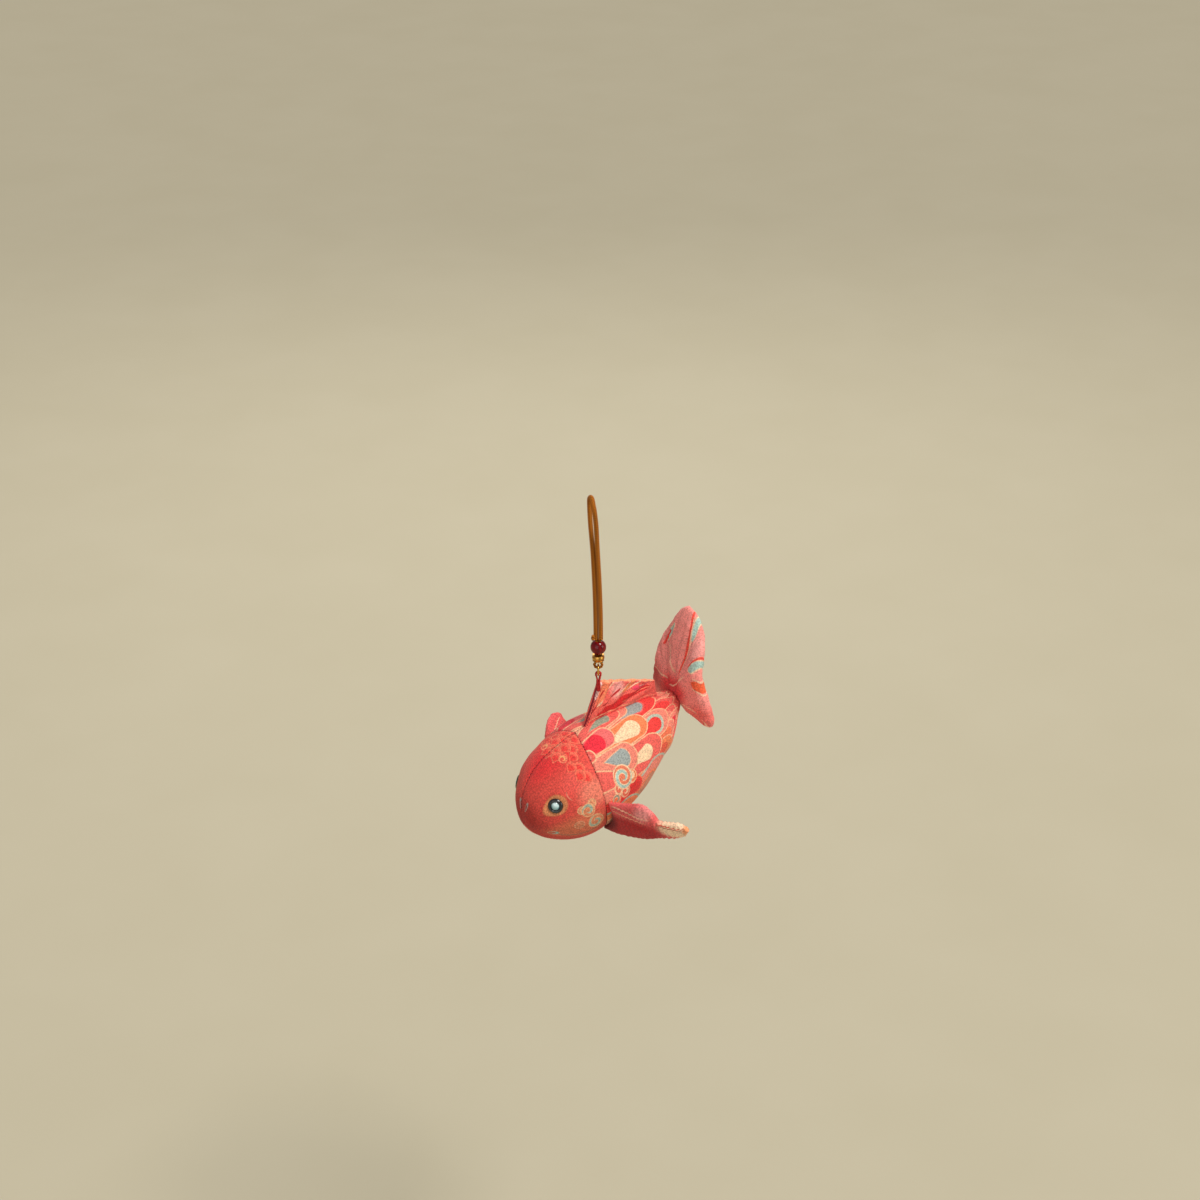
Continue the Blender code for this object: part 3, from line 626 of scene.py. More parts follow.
class Finish:
    """A material under way: its graph and its Principled shader."""

    def __init__(self, name: str, roughness: float, **constants: float) -> None:
        """Start a material.

        Args:
            name: The material's name.
            roughness: The shader's roughness where nothing drives it.
            **constants: Other shader inputs by name, with underscores for spaces.
        """
        self.material = bpy.data.materials.new(name)
        self.material.use_nodes = True
        self.graph = Graph(self.material.node_tree)
        self.shader = self.material.node_tree.nodes["Principled BSDF"]
        self.shader.inputs["Roughness"].default_value = roughness
        for key, value in constants.items():
            self.shader.inputs[key.replace("_", " ")].default_value = value

    def object_place(self) -> bpy.types.NodeSocket:
        """The point's own coordinates on its object."""
        return self.graph.node("ShaderNodeTexCoord").outputs["Object"]

    def print_place(self) -> bpy.types.NodeSocket:
        """The point's place on the print map."""
        return self.graph.node("ShaderNodeUVMap", {"uv_map": PRINT_MAP}).outputs[0]

    def colour(self, value: object) -> None:
        """Set or drive the base colour."""
        self.graph.feed(self.shader.inputs["Base Color"], value)

    def rough(self, value: object) -> None:
        """Drive the roughness."""
        self.graph.feed(self.shader.inputs["Roughness"], value)

    def bump(self, height: object, distance: float, strength: float = 1.0) -> None:
        """Raise the surface by a height times a distance in metres."""
        made = self.graph.node("ShaderNodeBump", Height=height, Distance=distance, Strength=strength)
        self.graph.feed(self.shader.inputs["Normal"], made.outputs[0])


@dataclass(frozen=True)
class PrintedCloth:
    """Brocade printed with marks over a ground colour, with a fine nap and weave."""

    name: str
    ground: Colour
    marks: tuple[Mark, ...] = ()
    grain: float = 0.30
    weave: float = 0.42
    wander: float = 0.55

    def make(self) -> bpy.types.Material:
        """Build the material."""
        finish = Finish(self.name, 0.82, Sheen_Weight=0.06, Sheen_Roughness=0.45, Specular_IOR_Level=0.18)
        graph = finish.graph
        here, place = finish.object_place(), finish.print_place()
        waver = graph.noise(here, 160.0, 1.0).outputs["Color"]
        drift = graph.vector("SUBTRACT", waver, (0.5, 0.5, 0.5)).outputs[0]
        drift = graph.node("ShaderNodeVectorMath", {"operation": "SCALE"}, Vector=drift, Scale=self.wander)
        mapped = graph.vector("ADD", place, drift.outputs[0]).outputs[0]
        colour: object = self.ground
        for mark in self.marks:
            made = graph.node("ShaderNodeGroup", {"node_tree": GROUPS[mark.kind]})
            graph.feed(made.inputs["Place"], mapped)
            graph.feed(made.inputs["Centre"], mark.centre())
            graph.feed(made.inputs["Under"], colour)
            values = [s for s in made.inputs if s.name not in ("Place", "Centre", "Under")]
            for target, value in zip(values, (*mark.numbers, *mark.colours)):
                graph.feed(target, value)
            colour = made.outputs[0]
        nap = graph.noise(here, 1700.0, 3.0).outputs["Fac"]
        broad = graph.noise(here, 70.0, 2.0).outputs["Fac"]
        shade = graph.spread(nap, 0.25, 0.75)
        shade = graph.math("MULTIPLY_ADD", shade, 2.0 * self.grain, 1.0 - self.grain)
        shade = graph.math("MULTIPLY", shade, graph.math("MULTIPLY_ADD", broad, 0.24, 0.88))
        tint = graph.node("ShaderNodeCombineColor", Red=shade, Green=shade, Blue=shade).outputs[0]
        finish.colour(graph.mix(1.0, colour, tint, "MULTIPLY"))
        across, up, _ = graph.separate(place)
        pitch = 2.0 * math.pi / self.weave
        warp = graph.math("SINE", graph.math("MULTIPLY", graph.math("ADD", across, up), pitch))
        weft = graph.math("SINE", graph.math("MULTIPLY", graph.math("SUBTRACT", across, up), pitch))
        height = graph.math("ADD", graph.math("MULTIPLY", warp, weft), graph.math("MULTIPLY", nap, 2.5))
        finish.bump(height, 0.035 * MM)
        finish.rough(graph.math("MULTIPLY_ADD", nap, 0.2, 0.66))
        return finish.material


@dataclass(frozen=True)
class BraidedCord:
    """Brown braid coloured by its relief: painted shade in the grooves, ochre on the crowns of its strands,
    partly painted light.
    """

    name: str
    # dark is painted shade for the grooves; light is the strands' ochre, partly painted light on their crowns
    dark: Colour = (0.040, 0.009, 0.001)
    middle: Colour = (0.30, 0.062, 0.004)
    light: Colour = (0.66, 0.24, 0.020)
    columns: int = 6
    pitch: float = 1.05

    def make(self) -> bpy.types.Material:
        """Build the material."""
        finish = Finish(self.name, 0.75, Sheen_Weight=0.02, Specular_IOR_Level=0.12)
        graph = finish.graph
        along, around, _ = graph.separate(finish.print_place())
        lane = graph.math("MULTIPLY", around, float(self.columns))
        across = graph.math("SUBTRACT", graph.math("FRACT", lane), 0.5)
        parity = graph.math("MODULO", graph.math("FLOOR", lane), 2.0)
        lean = graph.math("MULTIPLY_ADD", parity, 2.0, -1.0)
        slant = graph.math("MULTIPLY", graph.math("MULTIPLY", across, lean), 0.9)
        step = graph.math("ADD", graph.math("DIVIDE", along, self.pitch), slant)
        crown = graph.math("ABSOLUTE", graph.math("SINE", graph.math("MULTIPLY", step, math.pi)))
        fibre = graph.noise(finish.object_place(), 4200.0, 2.0).outputs["Fac"]
        # the colour follows the strands' relief: painted shade in the grooves, painted light on the crowns
        rise = graph.math("MULTIPLY", crown, graph.math("COSINE", graph.math("MULTIPLY", across, 1.7)))
        tone = graph.math("MULTIPLY_ADD", fibre, 0.4, graph.math("MULTIPLY_ADD", rise, 1.0, -0.26))
        finish.colour(graph.ramp(tone, ((0.18, self.dark), (0.50, self.middle), (0.85, self.light))))
        finish.bump(graph.math("MULTIPLY_ADD", fibre, 0.4, crown), 0.06 * MM)
        return finish.material


@dataclass(frozen=True)
class PolishedAgate:
    """Dark red agate with faint cloudy bands under a polish."""

    name: str

    def make(self) -> bpy.types.Material:
        """Build the material."""
        finish = Finish(self.name, 0.10, Coat_Weight=0.08, Coat_Roughness=0.04, Specular_IOR_Level=0.28)
        graph = finish.graph
        here = finish.object_place()
        cloud = graph.noise(here, 260.0, 3.0).outputs["Fac"]
        bands = graph.node("ShaderNodeTexWave", Vector=here, Scale=190.0, Distortion=5.0, Detail=2.0)
        tone = graph.math("MULTIPLY_ADD", bands.outputs["Fac"], 0.25, graph.math("MULTIPLY", cloud, 0.8))
        finish.colour(graph.ramp(tone, (
            (0.15, (0.040, 0.001, 0.002)), (0.55, (0.13, 0.001, 0.003)), (0.95, (0.30, 0.004, 0.005)),
        )))
        finish.rough(graph.math("MULTIPLY_ADD", cloud, 0.10, 0.06))
        return finish.material


@dataclass(frozen=True)
class PlatedGold:
    """Gold plating with fine scuffs and tarnish in its hollows."""

    name: str
    bright: Colour = (0.74, 0.39, 0.085)
    dull: Colour = (0.33, 0.13, 0.022)

    def make(self) -> bpy.types.Material:
        """Build the material."""
        finish = Finish(self.name, 0.22, Metallic=1.0)
        graph = finish.graph
        here = finish.object_place()
        tarnish = graph.noise(here, 900.0, 4.0).outputs["Fac"]
        scuff = graph.noise(here, 5200.0, 2.0).outputs["Fac"]
        finish.colour(graph.ramp(tarnish, ((0.30, self.dull), (0.60, self.bright))))
        finish.rough(graph.math("MULTIPLY_ADD", scuff, 0.28, 0.12))
        finish.bump(scuff, 0.010 * MM)
        return finish.material


@dataclass(frozen=True)
class SpunThread:
    """Sewing thread: two plies twisted together."""

    name: str
    dark: Colour
    light: Colour
    twist: float = 900.0

    def make(self) -> bpy.types.Material:
        """Build the material."""
        finish = Finish(self.name, 0.65, Sheen_Weight=0.03, Specular_IOR_Level=0.15)
        graph = finish.graph
        here = finish.object_place()
        ply = graph.node("ShaderNodeTexWave", {"bands_direction": "DIAGONAL"}, Vector=here, Scale=self.twist,
                         Distortion=1.0).outputs["Fac"]
        fuzz = graph.noise(here, 5000.0, 2.0).outputs["Fac"]
        tone = graph.math("MULTIPLY_ADD", fuzz, 0.5, graph.math("MULTIPLY", ply, 0.5))
        finish.colour(graph.ramp(tone, ((0.2, self.dark), (0.8, self.light))))
        finish.bump(tone, 0.03 * MM)
        return finish.material


@dataclass(frozen=True)
class MouldedGloss:
    """Glossy moulded plastic with a faint cloud and a worn polish."""

    name: str
    deep: Colour
    pale: Colour
    roughness: float = 0.10

    def make(self) -> bpy.types.Material:
        """Build the material."""
        finish = Finish(self.name, self.roughness, Coat_Weight=0.6, Coat_Roughness=0.05)
        graph = finish.graph
        here = finish.object_place()
        cloud = graph.noise(here, 420.0, 3.0).outputs["Fac"]
        smear = graph.noise(here, 2600.0, 2.0).outputs["Fac"]
        finish.colour(graph.ramp(cloud, ((0.32, self.deep), (0.68, self.pale))))
        finish.rough(graph.math("MULTIPLY_ADD", smear, 0.14, self.roughness - 0.03))
        return finish.material


@dataclass(frozen=True)
class Wadding:
    """Off-white cotton filling."""

    name: str

    def make(self) -> bpy.types.Material:
        """Build the material."""
        finish = Finish(self.name, 0.95, Sheen_Weight=0.3)
        graph = finish.graph
        fluff = graph.noise(finish.object_place(), 900.0, 6.0).outputs["Fac"]
        finish.colour(graph.ramp(fluff, ((0.3, (0.70, 0.66, 0.60)), (0.7, (0.92, 0.90, 0.86)))))
        finish.bump(fluff, 0.3 * MM)
        return finish.material


# --- The printed patterns --------------------------------------------------------------------

PINK: Colour = (0.84, 0.20, 0.17)
PALE_MINT: Colour = (0.46, 0.49, 0.39)
CURL_LINE: Colour = (0.76, 0.42, 0.22)
CURL_GROUND: Colour = (0.74, 0.24, 0.12)

BODY_MARKS = (
    blush(36.0, 78.0, 9.0, 7.0, (0.82, 0.26, 0.12), 0.9, 0.5),
    blush(56.0, 116.0, 26.0, 8.0, (0.80, 0.24, 0.10), 0.8, 0.4),
    blush(44.0, -14.0, 22.0, 5.0, (0.70, 0.035, 0.045), 0.8, 0.4),
    stroke(42.0, -10.0, 9.0, -8.0, -1.0, (0.86, 0.30, 0.16)),
    stroke(47.0, -17.0, 8.0, -12.0, -1.4, (0.80, 0.24, 0.15)),
    scale(72.0, 8.0, 5.6, SALMON, CORAL, 2.0, 3.4),
    scale(71.6, 40.0, 5.9, CORAL, RED, 1.6, 3.9),
    scale(71.0, 66.0, 5.2, CORAL, SALMON, 1.6, 3.0),
    scale(70.4, 90.0, 6.4, SALMON, CRIMSON, 1.4, 4.4),
    scale(70.0, 122.0, 7.2, CORAL, ORANGE, 1.4, 4.0),
    scale(65.6, 84.0, 5.2, SALMON, (0.84, 0.17, 0.08), 1.4, 3.2),
    scale(63.4, 9.5, 6.8, RED, GREY_BLUE, 3.6, 3.7, CORAL, 0.7, -7.0),
    scale(63.9, 54.5, 6.2, SALMON, RED, 2.2, 3.3, PALE_MINT, 1.35),
    scale(61.5, 99.0, 5.0, ORANGE, (0.80, 0.10, 0.05), 1.4, 2.9),
    scale(60.5, 133.0, 6.6, SALMON, CRIMSON, 2.0, 3.6),
    scale(55.1, 77.0, 6.0, CORAL, CREAM, 3.0, 3.05, turn=9.0),
    scale(51.7, 122.0, 9.3, SALMON, TAN, 3.0, 4.4, ORANGE, 1.2, line=(0.46, 0.46, 0.36), line_width=0.9),
    scale(54.6, 38.0, 5.1, ORANGE, CREAM, 2.3, 3.35),
    scale(52.5, 1.5, 5.0, SALMON, CORAL, 1.6, 3.4, turn=-12.0),
    scale(50.0, 3.0, 4.0, CORAL, GREY_GREEN, 3.6, 2.15, SALMON, 0.35, -12.0),
    scale(42.9, 60.0, 5.1, SALMON, GREY_BLUE, 1.6, 3.1, LINE, 0.25, 18.0, taper=0.22),
    scale(40.9, 27.8, 3.9, (0.84, 0.15, 0.14), CRIMSON, 4.2, 3.2),
    scale(41.4, 97.5, 3.6, RED, (0.74, 0.035, 0.03), 0.5, 2.4, line=(0.84, 0.24, 0.12)),
    scale(34.1, 132.0, 8.8, ORANGE, TAN, 2.0, 5.0, CREAM, 0.5, line=(0.44, 0.50, 0.36), line_width=0.8),
    scale(31.0, 35.0, 2.3, CORAL, PINK, 0.8, 1.2),
    scale(35.6, -9.5, 1.7, (0.80, 0.10, 0.07), GREY_BLUE, 0.2, 1.25, line=(0.72, 0.10, 0.06)),
    curl(40.6, 82.0, 2.6, 2.2, CREAM, LINE, ORANGE),
    curl(33.4, 84.5, 2.3, 2.0, CREAM, LINE, (0.82, 0.16, 0.09), -1.0),
    curl(30.8, 93.0, 2.1, 2.0, GREY_GREEN, LINE, ORANGE),
    curl(35.6, 92.0, 2.4, 2.2, CREAM, LINE, (0.82, 0.16, 0.09)),
    curl(37.2, 75.3, 4.3, 2.9, MINT, CREAM, (0.82, 0.22, 0.12), heart=0.9),
)

# Rows of small scales on the crown: distance from the nose, and the angles along the row
CROWN_ROWS = (
    (31.0, (-20.0, -6.0, 9.0)), (28.4, (-26.0, -13.0, 2.0, 16.0)), (25.8, (-19.0, -5.0, 9.0, 24.0)),
    (25.4, (37.0, 50.0)), (23.2, (-12.0, 2.0, 16.0, 31.0, 44.0)), (20.9, (-4.0, 9.0)),
)

CROWN_MARKS = tuple(
    scale(
        along + 0.5 * math.sin(3.0 * angle), angle, 2.05 + 0.3 * math.sin(angle), (0.84, 0.13, 0.085),
        (0.80, 0.055, 0.045), 0.5, 1.15, (0.82, 0.09, 0.06), 0.3, 22.0 * math.sin(along + angle),
        (0.83, 0.19, 0.105), 0.25, 0.85,
    )
    for along, angles in CROWN_ROWS for angle in angles
)

HEAD_MARKS = (
    blush(20.0, 0.0, 17.0, 10.0, (0.78, 0.036, 0.038), 0.9, 0.3),
    blush(22.0, 46.0, 10.0, 6.0, (0.80, 0.11, 0.085), 0.8, 0.2),
    blush(24.0, 68.0, 9.0, 6.5, (0.82, 0.23, 0.15), 0.85, 0.3),
    blush(14.0, 104.0, 15.0, 9.0, (0.66, 0.18, 0.085), 0.8, 0.35),
    # partly painted shade: the dark red round the nose is partly the cloth's colour and partly painted shade
    blush(0.0, 30.0, 6.5, 60.0, (0.42, 0.028, 0.020), 0.75, 0.2),
    blush(8.0, 132.0, 16.0, 6.0, (0.60, 0.05, 0.035), 0.7, 0.2),
    # painted shadow: this dark ring round the eye's orange halo stands for the shade of the sunken eye
    blush(9.7, 55.5, 5.6, 5.6, (0.44, 0.03, 0.022), 0.65, 0.6),
    blush(9.8, 55.5, 4.7, 4.8, (0.74, 0.27, 0.11), 0.95, 0.78),
    stroke(15.0, 55.0, 1.9, 90.0, -0.7, (0.82, 0.26, 0.17), 0.2),
    *CROWN_MARKS,
    curl(22.6, 17.3, 1.5, 1.6, (0.86, 0.40, 0.15), (0.86, 0.25, 0.14), (0.80, 0.09, 0.06)),
    curl(25.6, -6.0, 1.5, 1.7, (0.84, 0.28, 0.15), (0.86, 0.42, 0.22), (0.80, 0.08, 0.06), -1.0),
    curl(27.0, -22.0, 1.3, 1.5, (0.80, 0.20, 0.09), (0.84, 0.36, 0.16), (0.70, 0.06, 0.04), -1.0),
    curl(16.8, 79.0, 1.7, 1.9, (0.76, 0.30, 0.15), CURL_LINE, CURL_GROUND, -1.0),
    curl(21.2, 77.0, 1.7, 1.9, (0.76, 0.30, 0.15), CURL_LINE, CURL_GROUND),
    curl(18.9, 83.0, 2.7, 2.7, (0.36, 0.44, 0.34), CURL_LINE, CURL_GROUND, heart=0.7),
    curl(20.3, 103.5, 3.2, 2.6, (0.36, 0.44, 0.34), CURL_LINE, CURL_GROUND, -1.0, 0.7),
    curl(14.0, 98.0, 2.0, 2.2, (0.62, 0.20, 0.10), (0.68, 0.30, 0.17), (0.66, 0.20, 0.10)),
    curl(5.6, 107.0, 1.7, 2.0, (0.36, 0.52, 0.44), (0.62, 0.30, 0.18), (0.60, 0.10, 0.06)),
    curl(2.9, 15.0, 1.2, 1.9, (0.34, 0.42, 0.42), (0.50, 0.30, 0.24), (0.45, 0.05, 0.04)),
    stroke(14.0, 118.0, 8.0, 3.0, -1.6, (0.36, 0.16, 0.09), 0.35),
)

BELLY_MARKS = (
    blush(10.0, 180.0, 14.0, 9.0, (0.52, 0.035, 0.025), 0.8, 0.2),
    scale(66.0, 180.0, 6.6, SALMON, RED, 2.0, 4.0),
    scale(54.0, 180.0, 6.6, ORANGE, CREAM, 2.4, 3.2),
    scale(42.0, 180.0, 6.6, SALMON, CRIMSON, 2.0, 4.0),
    scale(30.0, 180.0, 6.6, CORAL, ORANGE, 2.4, 3.4, PALE_MINT, 0.9),
)


def on_fin(*marks: Mark) -> tuple[Mark, ...]:
    """Marks whose second place is given in millimetres across a fin instead of degrees."""
    return tuple(replace(mark, angle=mark.angle / DEGREE_ON_PRINT) for mark in marks)


BRIGHT_LINE: Colour = (0.92, 0.54, 0.36)
WINE: Colour = (0.50, 0.016, 0.018)

BACK_FIN_MARKS = on_fin(
    blush(4.6, 12.0, 3.4, 8.0, (0.90, 0.25, 0.12), 0.9, 0.5),
    blush(12.4, 12.4, 4.6, 6.5, (0.90, 0.40, 0.36), 0.9, 0.35),
    stroke(18.0, 5.6, 14.0, 20.0, 0.6, (0.64, 0.022, 0.022), 1.9),
    # painted shadow: a dark wine line between the pink patch and the cream line
    stroke(11.0, 8.6, 5.0, 42.0, 0.4, WINE, 0.40),
    stroke(7.4, 10.8, 7.4, 62.0, 0.5, BRIGHT_LINE, 0.30),
    stroke(3.4, 7.0, 6.0, 66.0, 0.3, WINE, 0.34),
    stroke(19.4, 13.2, 5.0, 42.0, 0.4, (0.90, 0.27, 0.11), 1.1),
    stroke(16.4, 12.4, 5.6, 48.0, 0.4, BRIGHT_LINE, 0.30),
    stroke(22.0, 12.6, 5.0, 36.0, 0.4, BRIGHT_LINE, 0.30),
    stroke(26.0, 12.2, 5.4, 24.0, 0.4, (0.84, 0.065, 0.12), 1.2),
    stroke(28.6, 13.6, 4.6, 22.0, 0.4, BRIGHT_LINE, 0.28),
    stroke(24.0, 7.4, 8.0, 22.0, 0.4, (0.86, 0.20, 0.12), 0.34),
    stroke(17.0, 1.8, 17.0, 1.0, 0.0, (0.88, 0.32, 0.18), 0.26),
    stroke(1.4, 12.6, 3.2, 90.0, 0.0, (0.92, 0.56, 0.50), 0.9),
    stroke(0.5, 8.0, 9.5, 90.0, 0.0, (0.20, 0.010, 0.022), 0.30),
    stroke(18.0, 15.7, 17.0, 0.0, 0.0, (0.90, 0.33, 0.17), 0.34),
)

LEFT_FIN_MARKS = on_fin(
    # partly painted shade: the deep crimson over the lower half is partly the cloth's colour and partly
    # painted shade
    blush(7.0, -5.0, 20.0, 11.5, (0.44, 0.014, 0.016), 0.95, 0.62),
    # painted shadow: the near-black patch at the fin's root
    blush(0.0, -4.0, 6.0, 13.0, (0.13, 0.006, 0.006), 0.9, 0.2),
    blush(17.8, 7.6, 5.5, 5.0, (0.88, 0.33, 0.31), 0.85, 0.25),
    blush(29.5, 0.0, 9.0, 6.5, (0.95, 0.68, 0.45), 0.95, 0.5),
    blush(34.6, 0.0, 2.6, 3.6, (0.88, 0.30, 0.12), 0.9, 0.4),
    stroke(11.0, 7.6, 9.5, -12.0, -1.2, BRIGHT_LINE, 0.26),
    stroke(10.0, 5.4, 9.0, -12.0, -1.0, (0.86, 0.40, 0.24), 0.22),
    stroke(27.5, 0.2, 6.5, -2.0, 0.4, (0.40, 0.05, 0.03), 0.16),
    stroke(27.5, 1.0, 6.0, 1.0, 0.2, (0.80, 0.07, 0.05), 0.20),
)

RIGHT_FIN_MARKS = on_fin(
    blush(26.0, 4.0, 14.0, 9.0, (0.82, 0.12, 0.12), 0.9, 0.4),
    stroke(18.0, 6.0, 14.0, -14.0, -0.8, BRIGHT_LINE, 0.24),
)

TAIL_MARKS = on_fin(
    blush(0.0, 4.0, 9.0, 7.0, (0.78, 0.045, 0.05), 0.9, 0.35),
    # painted shadow: a dark maroon patch in the middle of one half of the tail
    blush(11.0, 4.5, 8.0, 8.0, (0.52, 0.035, 0.035), 0.8, 0.1),
    blush(-13.0, -4.5, 8.0, 7.0, (0.90, 0.17, 0.14), 0.9, 0.4),
    blush(-9.0, 21.0, 6.0, 7.0, (0.90, 0.36, 0.32), 0.8, 0.3),
    stroke(-10.9, 15.9, 3.2, 129.0, 0.0, CREAM, 1.30),
    stroke(-10.9, 15.9, 3.0, 129.0, 0.0, MINT, 0.90),
    stroke(-10.1, 17.2, 3.6, 129.0, 0.0, (0.84, 0.09, 0.06), 0.38),
    stroke(-13.0, 8.6, 3.6, 31.0, 0.0, (0.88, 0.13, 0.05), 1.5),
    stroke(-13.6, 10.4, 3.4, 31.0, 0.0, BRIGHT_LINE, 0.26),
    stroke(-12.6, 6.7, 3.4, 31.0, 0.0, BRIGHT_LINE, 0.26),
    stroke(-3.0, 7.4, 5.6, -35.0, 0.6, BRIGHT_LINE, 0.28),
    stroke(-7.3, -1.0, 4.9, 12.0, -1.1, BRIGHT_LINE, 0.28),
    stroke(-15.0, -7.5, 3.0, 65.0, 0.0, BRIGHT_LINE, 0.30),
    stroke(5.0, 22.4, 4.3, -64.0, 0.0, CREAM, 1.10),
    stroke(5.0, 22.4, 4.1, -64.0, 0.0, MINT, 0.78),
    stroke(7.0, 20.0, 3.6, -56.0, 0.0, (0.84, 0.06, 0.045), 0.70),
    stroke(1.5, 15.2, 4.6, 58.0, -0.9, BRIGHT_LINE, 0.30),
    stroke(7.4, 7.6, 4.8, 4.0, -0.6, BRIGHT_LINE, 0.28),
    stroke(-5.5, 27.2, 5.0, 88.0, 0.0, CREAM, 1.15),
    stroke(-5.6, 27.2, 4.8, 88.0, 0.0, MINT, 0.80),
    stroke(-4.3, 21.5, 11.5, 90.0, -1.7, (0.84, 0.075, 0.05), 0.62),
    stroke(-5.1, 20.5, 10.5, 90.0, -1.7, BRIGHT_LINE, 0.30),
)


class ClothKind(Enum):
    """The printed cloths that the fish is cut from."""

    HEAD = PrintedCloth("head brocade", (0.72, 0.078, 0.058), HEAD_MARKS)
    BODY = PrintedCloth("body brocade", (0.80, 0.11, 0.085), BODY_MARKS)
    BELLY = PrintedCloth("belly brocade", (0.74, 0.15, 0.09), BELLY_MARKS)
    BACK_FIN = PrintedCloth("back fin brocade", (0.84, 0.13, 0.10), BACK_FIN_MARKS)
    LEFT_FIN = PrintedCloth("left fin brocade", (0.76, 0.115, 0.11), LEFT_FIN_MARKS)
    RIGHT_FIN = PrintedCloth("right fin brocade", (0.74, 0.085, 0.075), RIGHT_FIN_MARKS)
    TAIL = PrintedCloth("tail brocade", (0.93, 0.29, 0.25), TAIL_MARKS)

    def make(self) -> bpy.types.Material:
        """Build the cloth's material."""
        return self.value.make()


# --- Cord, beads, ring and thread --------------------------------------------------------------

HANG_LINE = Vector((2.0, -1.5, 0.0)) * MM
RING_YAW = math.radians(-38.0)
ACROSS = Vector((math.cos(RING_YAW), math.sin(RING_YAW), 0.0))
FORWARD = Vector((ACROSS.y, -ACROSS.x, 0.0))


@dataclass
class HangingCord:
    """The doubled braided cord and the knot's cut end at its foot."""

    strand: float = 0.91 * MM
    # Height, half the distance between the strands, and the heading of one strand seen from above
    levels: tuple[tuple[float, float, float], ...] = (
        (-0.0032, 0.00340, -112.0), (-0.0065, 0.00275, -106.0), (-0.0105, 0.00195, -95.0),
        (-0.0150, 0.00132, -80.0), (-0.0200, 0.00102, -68.0), (-0.0260, 0.00093, -59.0),
        (-0.0320, 0.00092, -54.0), (-0.0380, 0.00092, -52.0), (-0.0440, 0.00092, -50.0),
        (-0.0495, 0.00092, -48.0), (-0.0540, 0.00092, -47.0), (-0.0579, 0.00092, -46.0),
    )
    crown: tuple[tuple[float, float], ...] = ((-0.00105, 0.00262), (0.00045, 0.00142))
    rings: int = 760
    around: int = 30
    stub: float = 0.72 * MM
    braid: float = 0.08

    def centre(self, height: float) -> Vector:
        """Middle of the doubled cord at a height."""
        share = min(max(height / self.levels[-1][0], 0.0), 1.0)
        return HANG_LINE * math.sin(share * math.pi / 2.0) + UP * height

    def route(self) -> list[Vector]:
        """Knots of the whole cord: up one strand, over the crown and down the other."""
        first, second = [], []
        for height, half_gap, heading in self.levels:
            turn = math.radians(heading)
            side = Vector((math.cos(turn), math.sin(turn), 0.0)) * half_gap
            first.append(self.centre(height) + side)
            second.append(self.centre(height) - side)
        turn = math.radians(self.levels[0][2])
        side = Vector((math.cos(turn), math.sin(turn), 0.0))
        rising = [UP * height + side * half_gap for height, half_gap in self.crown]
        falling = [UP * height - side * half_gap for height, half_gap in reversed(self.crown)]
        return first[::-1] + rising + [UP * self.strand] + falling + second

    def braided(self, radius: float, cloth: BraidedCord) -> Callable[[float, float], float]:
        """The radius of a braid at a distance along it and an angle round it."""
        def reach(run: float, turn: float) -> float:
            lane = turn / (2.0 * math.pi) * cloth.columns
            across = lane % 1.0 - 0.5
            lean = 1.0 if int(lane) % 2 else -1.0
            step = run / MM / cloth.pitch + across * lean * 0.9
            crown = abs(math.sin(step * math.pi)) ** 0.7 * math.cos(across * math.pi) ** 0.5
            return radius * (1.0 - self.braid + self.braid * crown)
        return reach

    def build(self) -> None:
        """Make the cord and its stub."""
        cloth = BraidedCord("braided cord")
        material = cloth.make()
        path = smooth_curve(self.route(), self.rings)
        cord = dress(tube("braided_cord", path, self.braided(self.strand, cloth), self.around), material)
        mount(cord, "hanging_cord", "cord", "cord_loop")

        low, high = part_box("knot_stub")
        foot = Vector(((low.x + high.x) / 2.0, (low.y + high.y) / 2.0, low.z + self.stub * 0.4))
        rise = high.z - low.z - self.stub * 1.4
        bend = [foot, foot + UP * rise * 0.5 - ACROSS * 0.15 * MM, foot + UP * rise + ACROSS * 0.1 * MM]
        stub = tube("knot_end", smooth_curve(bend, 26), self.braided(self.stub, cloth), self.around)
        mount(dress(stub, material), "hanging_cord", "cord", "knot_stub")


